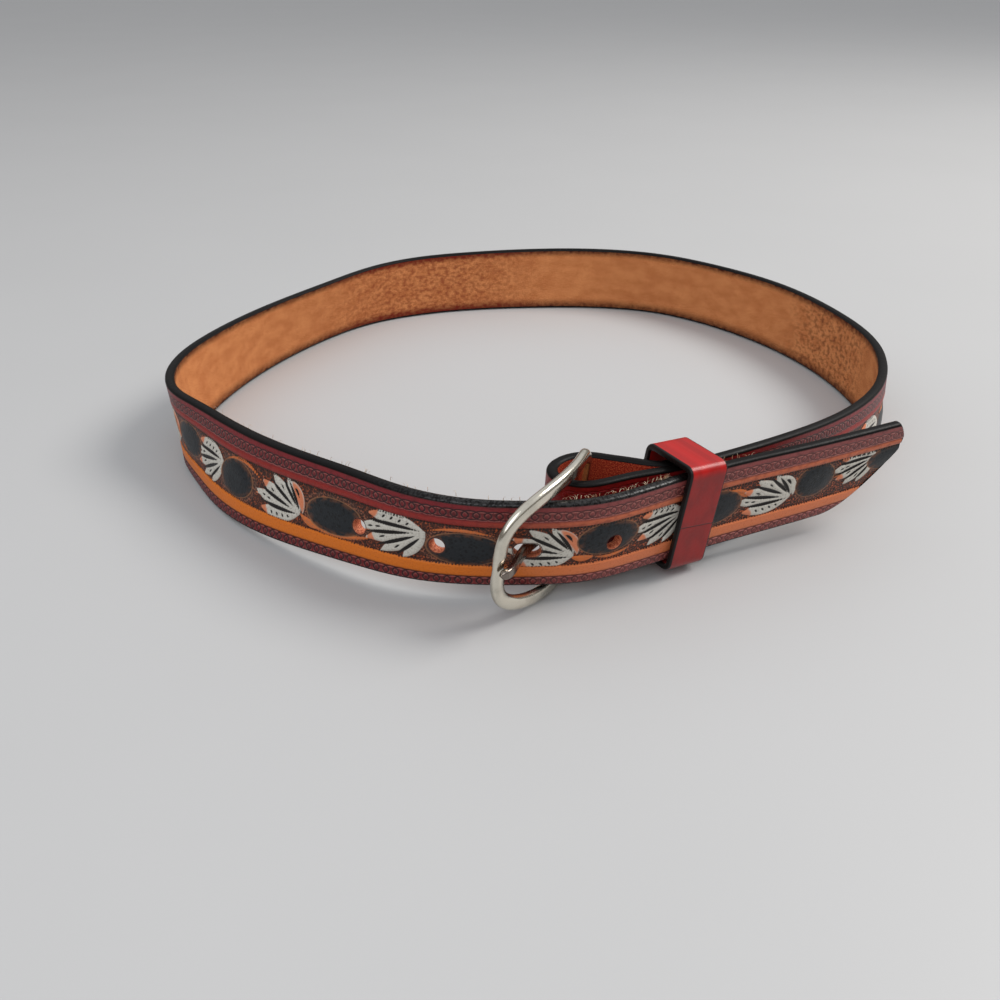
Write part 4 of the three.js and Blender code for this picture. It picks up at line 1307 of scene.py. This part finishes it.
def tooled_leather(colours):
    """The whole strap: tooled and dyed face, burnished edges and suede flesh side."""
    finish = Finish("tooled_leather")
    s, h, depth = finish.place()
    leaf, cut, oval, vine, amber = (finish.read(name) for name in FIELDS)
    fine = finish.speckle(s * 1.6, h * 1.6, depth, 4)
    broad = finish.speckle(s * 0.11, h * 0.2, 0.0, 3)
    blotch = finish.speckle(s * 0.45, h * 0.6, 3.0, 3)
    # left runs from 0 near the tip to 1 further round. Near the tip the borders, band and ribbon are
    # painted lighter and greyer as reflected light, the link lines paler and their painted highlights
    # stronger
    left = s.over(98, 150)

    links = chains(s, h)
    glints = chains(s, h + LINK_GLINT) * (1 - links) * fine.over(0.3, 0.5)
    hollow = h.within(LOWER_CHAIN, 1.0, 0.3).at_least(h.within(UPPER_CHAIN, 1.0, 0.3))
    border = finish.layered(
        paint(*BORDER_WITH_SHEEN_NEAR_TIP),
        (left, tuple(colours.border)),
        (blotch.over(0.45, 0.75) * 0.5, paint(56, 16, 18)),
        (links * (0.6 + left * 0.4), paint(26, 6, 14)),
        (glints * (0.9 - left * 0.4), paint(196, 124, 112)),
        (hollow * (1 - links) * blotch.over(0.3, 0.6) * 0.3, paint(44, 12, 16)))
    band = finish.layered(
        paint(*BAND_WITH_SHEEN_NEAR_TIP),
        (left, tuple(colours.band)),
        (fine.over(0.5, 0.8) * 0.45, paint(150, 62, 22)))
    ribbon = finish.layered(
        paint(184, 98, 66),
        (left, paint(136, 38, 32)),
        (blotch.over(0.4, 0.8) * 0.5, paint(88, 26, 22)))

    pits = finish.pits(s * 1.5, h * 1.5)
    dimple = finish.pits(s * 0.9, h * 0.9)
    rust = fine.over(0.5, 0.62) * blotch.over(0.3, 0.6)
    ink = finish.layered(
        paint(8, 9, 12),
        (dimple.over(0.1, 0.55), paint(26, 30, 34)),
        (fine.over(0.62, 0.78) * 0.4, paint(96, 98, 96)),
        (oval.over(1.6, 0.2) * blotch.over(0.4, 0.6) * 0.5, paint(120, 72, 44)))
    silver = finish.layered(
        tuple(colours.leaf),
        (fine.over(0.45, 0.72) * 0.6, paint(146, 136, 124)),
        (amber.over(-0.3, 0.5) * 0.85, paint(206, 104, 48)))
    haze = oval.within(-0.7, 0.5, 0.4) * fine.over(0.4, 0.65) * leaf.over(0.1, -0.1)
    panel = finish.layered(
        paint(9, 6, 6),
        (pits.over(0.2, 0.55), paint(62, 30, 20)),
        (rust * (1 - left * 0.3), paint(184, 88, 48)),
        (vine.over(-0.12, 0.08), paint(196, 104, 50)),
        (leaf.over(-0.12, 0.1), silver),
        (cut.over(-0.14, 0.06), paint(20, 15, 14)),
        (oval.over(-0.1, 0.12), ink),
        (oval.within(0.05, 0.14, 0.12) * 0.55, paint(150, 104, 72)),
        (haze * 0.45, paint(128, 100, 84)))

    low_dots = (h + blotch * 0.5).within(PANEL_LOW + 0.25, 0.2, 0.12)
    dots = low_dots.at_least(h.within(PANEL_HIGH - 0.2, 0.42, 0.14))
    dots = dots * s.wave(0.95).within(0, 0.3, 0.12) * fine.over(0.3, 0.6)
    wine = finish.mix(blotch, paint(84, 10, 14), paint(140, 22, 24))
    face = finish.layered(
        border,
        (h.over(LOWER_BAND - 0.25, LOWER_BAND + 0.25), band),
        (h.over(PANEL_LOW - 0.15, PANEL_LOW + 0.15), panel),
        (h.over(PANEL_HIGH - 0.15, PANEL_HIGH + 0.15), ribbon),
        (h.over(UPPER_BAND - 0.5, UPPER_BAND + 0.4), border),
        (dots, paint(24, 14, 12)),
        (s.over(PLAIN_FROM - 1, PLAIN_FROM + 1), wine))

    grain = finish.speckle(s * 2.6, h * 2.6, 9.0, 5, 0.65)
    rims = h.over(5.5, 0.5).at_least(h.over(STRAP_WIDTH - 4.0, STRAP_WIDTH - 0.8))
    stain = s.within(470, 46, 30) * (blotch.over(0.35, 0.7) * 0.6 + rims * 0.5)
    smudge = s.within(700, 26, 14) * blotch.over(0.42, 0.66)
    speckled = finish.mix(grain.over(0.4, 0.7), paint(132, 24, 18), paint(206, 100, 62))
    flesh = finish.layered(
        tuple(colours.flesh),
        (broad.over(0.3, 0.72), paint(184, 106, 58)),
        (grain.over(0.35, 0.75) * 0.65, paint(226, 160, 108)),
        (grain.over(0.6, 0.3) * 0.45, paint(140, 74, 40)),
        (rims * (blotch + 0.35), paint(62, 26, 18)),
        (stain, paint(112, 32, 22)),
        (smudge * 0.6, paint(86, 44, 30)),
        (s.over(RUN.fold_start - 4, RUN.fold_start + 4), speckled))

    on_flesh = depth.over(STRAP_THICKNESS - 0.25, STRAP_THICKNESS - 0.02)
    edge = depth.within(STRAP_THICKNESS / 2, STRAP_THICKNESS / 2 - 0.02, 0.02)
    upper = h.over(EDGE_BLACK - 0.3, EDGE_BLACK + 0.2)
    rim = edge.at_least(upper * (1 - on_flesh))
    colour = finish.layered(face, (on_flesh, flesh), (rim, tuple(colours.edge)))

    rough = 0.42 + fine * 0.16 - leaf.over(0, 0.2) * 0.05
    rough = finish.maths("MULTIPLY_ADD", on_flesh, 0.46, rough)
    rough = rough * (1 - rim) + rim * (0.3 + fine * 0.3)
    sheen = s.within(122, 42, 20) * fine.over(0.38, 0.6) * 0.8
    coat = ((1 - rim) * 0.3 + rim * sheen) * (1 - on_flesh)
    bumps = glints * 0.5 - links * 0.8 + fine * 0.25 - dots * 0.6 - pits * leaf.over(0.1, -0.1) * 0.25
    bumps = bumps * (1 - on_flesh) * (1 - rim) + on_flesh * grain * 1.6 + rim * fine * 0.15
    return finish.done(colour, rough, bumps, 0.75, 0.00035, coat_weight=coat, coat_roughness=0.3,
                       specular_ior_level=0.14)


def raw_leather():
    """The cut leather inside the holes."""
    finish = Finish("raw_leather")
    s, h, depth = finish.place()
    fibre = finish.speckle(s * 2.2, h * 2.2, depth * 3.0, 4, 0.6)
    colour = finish.layered(
        paint(146, 62, 34),
        (fibre.over(0.35, 0.7), paint(222, 138, 98)),
        (depth.over(0.15, -0.02), paint(58, 30, 24)),
        # Past PLAIN_FROM, in the fold and the tongue's slot, the lining is painted dark red-brown as
        # shade
        (s.over(PLAIN_FROM - 1, PLAIN_FROM), paint(60, 16, 14)))
    return finish.done(colour, 0.7, fibre, 0.6, 0.0003)


def loose_fibre():
    """Pale leather fibres of two tints."""
    finish = Finish("loose_fibre")
    s, rise, depth = finish.place()
    tint = finish.speckle(s * 0.5, rise, depth, 2)
    colour = finish.mix(tint.over(0.4, 0.6), paint(226, 206, 178), paint(176, 132, 96))
    return finish.done(colour, 0.8)


def glossy_leather(colours):
    """The keeper's smooth red leather with black edges and a crease across its front."""
    finish = Finish("glossy_leather")
    along, rise, thick = finish.place()
    grain = finish.speckle(along * 0.9, rise * 0.9, thick, 4)
    broad = finish.speckle(along * 0.2, rise * 0.12, 5.0, 2)
    # top is 1 at the keeper's upper edge. The front below it is painted darker as shade, so the top
    # reads as lit
    top = rise.over(STRAP_WIDTH / 2 - 1.2, STRAP_WIDTH / 2 + 0.6)
    crease = (rise - along * 0.06).within(-2.2, 0.16, 0.12) * thick.over(0.6, 0.8)
    edges = abs(along).over(KEEPER_WIDTH / 2 - 0.75, KEEPER_WIDTH / 2 - 0.5)
    colour = finish.layered(
        tuple(colours.keeper),
        (broad.over(0.35, 0.7), paint(138, 14, 12)),
        ((1 - top) * 0.55, paint(112, 26, 24)),
        (grain.over(0.6, 0.8) * 0.3, paint(188, 40, 28)),
        (crease * 0.85, paint(44, 6, 8)),
        (edges, paint(10, 6, 6)))
    rough = 0.3 + grain * 0.2 + edges * 0.1
    return finish.done(colour, rough, grain * 0.4 - crease, 0.35, 0.0003, coat_weight=0.25,
                       coat_roughness=0.2, specular_ior_level=0.2)


def worn_nickel(name, bright, rough_low, rough_high):
    """Plated metal with fine scratches and duller patches."""
    finish = Finish(name)
    at = finish.node("ShaderNodeTexCoord")["Object"]
    scratch = finish.node("ShaderNodeMapping", None, {"Vector": at, "Scale": (2400, 2400, 300)})
    lines = finish.noise(scratch["Vector"], 1.0, 4.0)
    dull = finish.noise(at, 160.0, 3.0)
    tarnish = tuple(channel * 0.62 for channel in bright)
    colour = finish.mix(dull.over(0.45, 0.75) * 0.7, bright, tarnish)
    rough = rough_low + lines * (rough_high - rough_low) + dull.over(0.5, 0.8) * 0.1
    return finish.done(colour, rough, lines, 0.08, 0.0001, metallic=1.0)


def pale_floor(colours):
    """A plain floor with a faint cloud."""
    finish = Finish("pale_floor")
    cloud = finish.noise(finish.node("ShaderNodeTexCoord")["Object"], 9.0, 3.0)
    colour = tuple(colours.floor)
    shade = tuple(channel * 0.96 for channel in colour)
    return finish.done(finish.mix(cloud, colour, shade), 0.5)


def studio_sky(strength):
    """An even glow from above that is darker low down, so that metal has something to show."""
    finish = Finish("studio", bpy.data.worlds.new("studio"))
    way = finish.node("ShaderNodeTexCoord")["Generated"]
    up = finish.node("ShaderNodeSeparateXYZ", None, {"Vector": way})["Z"]
    colour = finish.mix(up.over(0.2, 0.5), paint(142, 138, 132), paint(244, 246, 250))
    inputs = {"Color": colour, "Strength": strength}
    glow = finish.node("ShaderNodeBackground", None, inputs)["Background"]
    output = finish.tree.nodes.new("ShaderNodeOutputWorld")
    finish.tree.links.new(glow.socket, output.inputs["Surface"])
    return finish.owner


class BeltSizes(bpy.types.PropertyGroup):
    """Sizes of the belt's finish."""

    relief: FloatProperty(name="Relief", description="Depth of the tooling in millimetres",
                          default=0.55, min=0, max=1.2, unit="NONE")
    edge_rounding: FloatProperty(name="Edge rounding", default=1.0, min=0.3, max=1.5,
                                 description="Height of the strap's rounded edges in millimetres",
                                 unit="NONE")
    keeper_rounding: FloatProperty(name="Keeper rounding", default=0.6, min=0.2, max=0.9,
                                   description="Radius of the keeper's edges in millimetres",
                                   unit="NONE")
    keeper_corner: FloatProperty(name="Keeper corner", default=3.0, min=2.1, max=4, unit="NONE",
                                 description="Radius of the keeper's corners in millimetres")
    rest_dent: FloatProperty(name="Rest dent", default=0.35, min=0, max=0.8, unit="NONE",
                             description="Dent of the frame under the tongue in millimetres")


def colour_property(name, description, default):
    """A colour that can be changed in the panel."""
    return FloatVectorProperty(name=name, description=description, default=default, size=3,
                               min=0, max=1, subtype="COLOR")


class BeltColours(bpy.types.PropertyGroup):
    """Colours of the belt and its floor."""

    border: colour_property("Border", "Dye of the stamped borders", paint(118, 26, 32))
    band: colour_property("Band", "Dye of the lower band", paint(206, 108, 26))
    leaf: colour_property("Leaf", "Paint of the leaves", paint(196, 192, 182))
    flesh: colour_property("Flesh", "Flesh side of the strap", paint(212, 136, 82))
    edge: colour_property("Edge", "Burnished edges", paint(6, 4, 4))
    keeper: colour_property("Keeper", "Dye of the keeper", paint(170, 14, 11))
    floor: colour_property("Floor", "Colour of the floor", paint(180, 180, 180))


class BeltStage(bpy.types.PropertyGroup):
    """Light of the stage."""

    key_power: FloatProperty(name="Key light", description="Power of the window light",
                             default=19.0, min=0, unit="POWER")
    fill_power: FloatProperty(name="Fill light", description="Power of the fill light",
                              default=6.0, min=0, unit="POWER")
    sky: FloatProperty(name="Sky", description="Strength of the even light", default=0.75, min=0)


class BELT_OT_strap(bpy.types.Operator):
    """Make the tooled strap in three stretches, and the linings of its holes"""

    bl_idname = "belt.strap"
    bl_label = "Strap"

    def execute(self, context):
        sizes, colours = context.scene.belt_sizes, context.scene.belt_colours
        leather = tooled_leather(colours)
        end = RUN.path.length
        strap_stretch("strap_front", 0.0, FRONT_END, FRONT_FINE, sizes, leather)
        strap_stretch("strap_back", FRONT_END, BACK_END, BACK_FINE, sizes, leather)
        strap_stretch("strap_buckle_end", BACK_END, end, BUCKLE_END_FINE, sizes, leather)
        hole_lining(raw_leather())
        edge_fibres(loose_fibre())
        return {"FINISHED"}


class BELT_OT_buckle(bpy.types.Operator):
    """Make the buckle's frame and its tongue"""

    bl_idname = "belt.buckle"
    bl_label = "Buckle"

    def execute(self, context):
        nickel = worn_nickel("worn_nickel", paint(214, 208, 194), 0.12, 0.26)
        steel = worn_nickel("dull_steel", paint(132, 122, 114), 0.16, 0.34)
        buckle_frame(nickel, context.scene.belt_sizes)
        buckle_tongue(steel)
        return {"FINISHED"}


class BELT_OT_keeper(bpy.types.Operator):
    """Make the keeper loop and the rivet behind it"""

    bl_idname = "belt.keeper"
    bl_label = "Keeper"

    def execute(self, context):
        scene = context.scene
        keeper_loop(glossy_leather(scene.belt_colours), scene.belt_sizes)
        flap_rivet(worn_nickel("rivet_plate", paint(176, 170, 156), 0.25, 0.45))
        return {"FINISHED"}


def area_light(lamp, power):
    """Hangs up a round light that faces its target."""
    data = bpy.data.lights.new(lamp.name, "AREA")
    data.shape = "DISK"
    data.size = lamp.size
    data.energy = power
    data.color = lamp.tint
    hung = bpy.data.objects.new(lamp.name, data)
    hung.location = lamp.place
    towards = Vector(lamp.target) - Vector(lamp.place)
    hung.rotation_euler = towards.to_track_quat("-Z", "Y").to_euler()
    bpy.context.scene.collection.objects.link(hung)


class BELT_OT_stage(bpy.types.Operator):
    """Make the floor, the lights and the camera"""

    bl_idname = "belt.stage"
    bl_label = "Stage"

    def execute(self, context):
        scene = context.scene
        light = scene.belt_stage
        mesh = bpy.data.meshes.new("floor")
        half = FLOOR_SIZE / 2
        corners = [(-half, -half, 0), (half, -half, 0), (half, half, 0), (-half, half, 0)]
        mesh.from_pydata(corners, [], [(0, 1, 2, 3)])
        mesh.materials.append(pale_floor(scene.belt_colours))
        floor = bpy.data.objects.new("floor", mesh)
        floor.location.z = -FLOOR_DROP
        scene.collection.objects.link(floor)
        area_light(WINDOW, light.key_power)
        area_light(ROOM, light.fill_power)
        scene.world = studio_sky(light.sky)
        low, high = (np.array(corner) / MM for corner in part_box("strap"))
        data = bpy.data.cameras.new("camera")
        data.lens = CAMERA_LENS
        data.sensor_width = CAMERA_SENSOR
        data.clip_start = CAMERA_CLIP
        camera = bpy.data.objects.new("camera", data)
        side = (low[0] + high[0]) / 2 + CAMERA_SIDE
        camera.location = Vector((side, low[1] - CAMERA_BACK, CAMERA_HEIGHT)) * MM
        camera.rotation_euler = (math.radians(90 - CAMERA_PITCH), 0, 0)
        scene.collection.objects.link(camera)
        scene.camera = camera
        scene.view_settings.view_transform = "Standard"
        return {"FINISHED"}


class BELT_PT_pieces(bpy.types.Panel):
    """The belt's pieces, its finish and its stage"""

    bl_idname = "BELT_PT_pieces"
    bl_label = "Tooled Belt"
    bl_space_type = "VIEW_3D"
    bl_region_type = "UI"
    bl_category = "Belt"

    def draw(self, context):
        for group in (context.scene.belt_sizes, context.scene.belt_colours, context.scene.belt_stage):
            for name in group.__annotations__:
                self.layout.prop(group, name)
        for operator in OPERATORS:
            self.layout.operator(operator.bl_idname)


OPERATORS = (BELT_OT_strap, BELT_OT_buckle, BELT_OT_keeper, BELT_OT_stage)
CLASSES = (BeltSizes, BeltColours, BeltStage, *OPERATORS, BELT_PT_pieces)
GROUPS = {"belt_sizes": BeltSizes, "belt_colours": BeltColours, "belt_stage": BeltStage}


def register():
    """Adds the classes and the belt's groups to the scene."""
    for each in CLASSES:
        bpy.utils.register_class(each)
    for name, group in GROUPS.items():
        setattr(bpy.types.Scene, name, PointerProperty(type=group))


def unregister():
    """Takes them away again."""
    for name in GROUPS:
        delattr(bpy.types.Scene, name)
    for each in reversed(CLASSES):
        bpy.utils.unregister_class(each)


def main():
    """Makes the stage and the belt."""
    register()
    bpy.ops.belt.stage()
    bpy.ops.belt.strap()
    bpy.ops.belt.buckle()
    bpy.ops.belt.keeper()


if __name__ == "__main__":
    main()
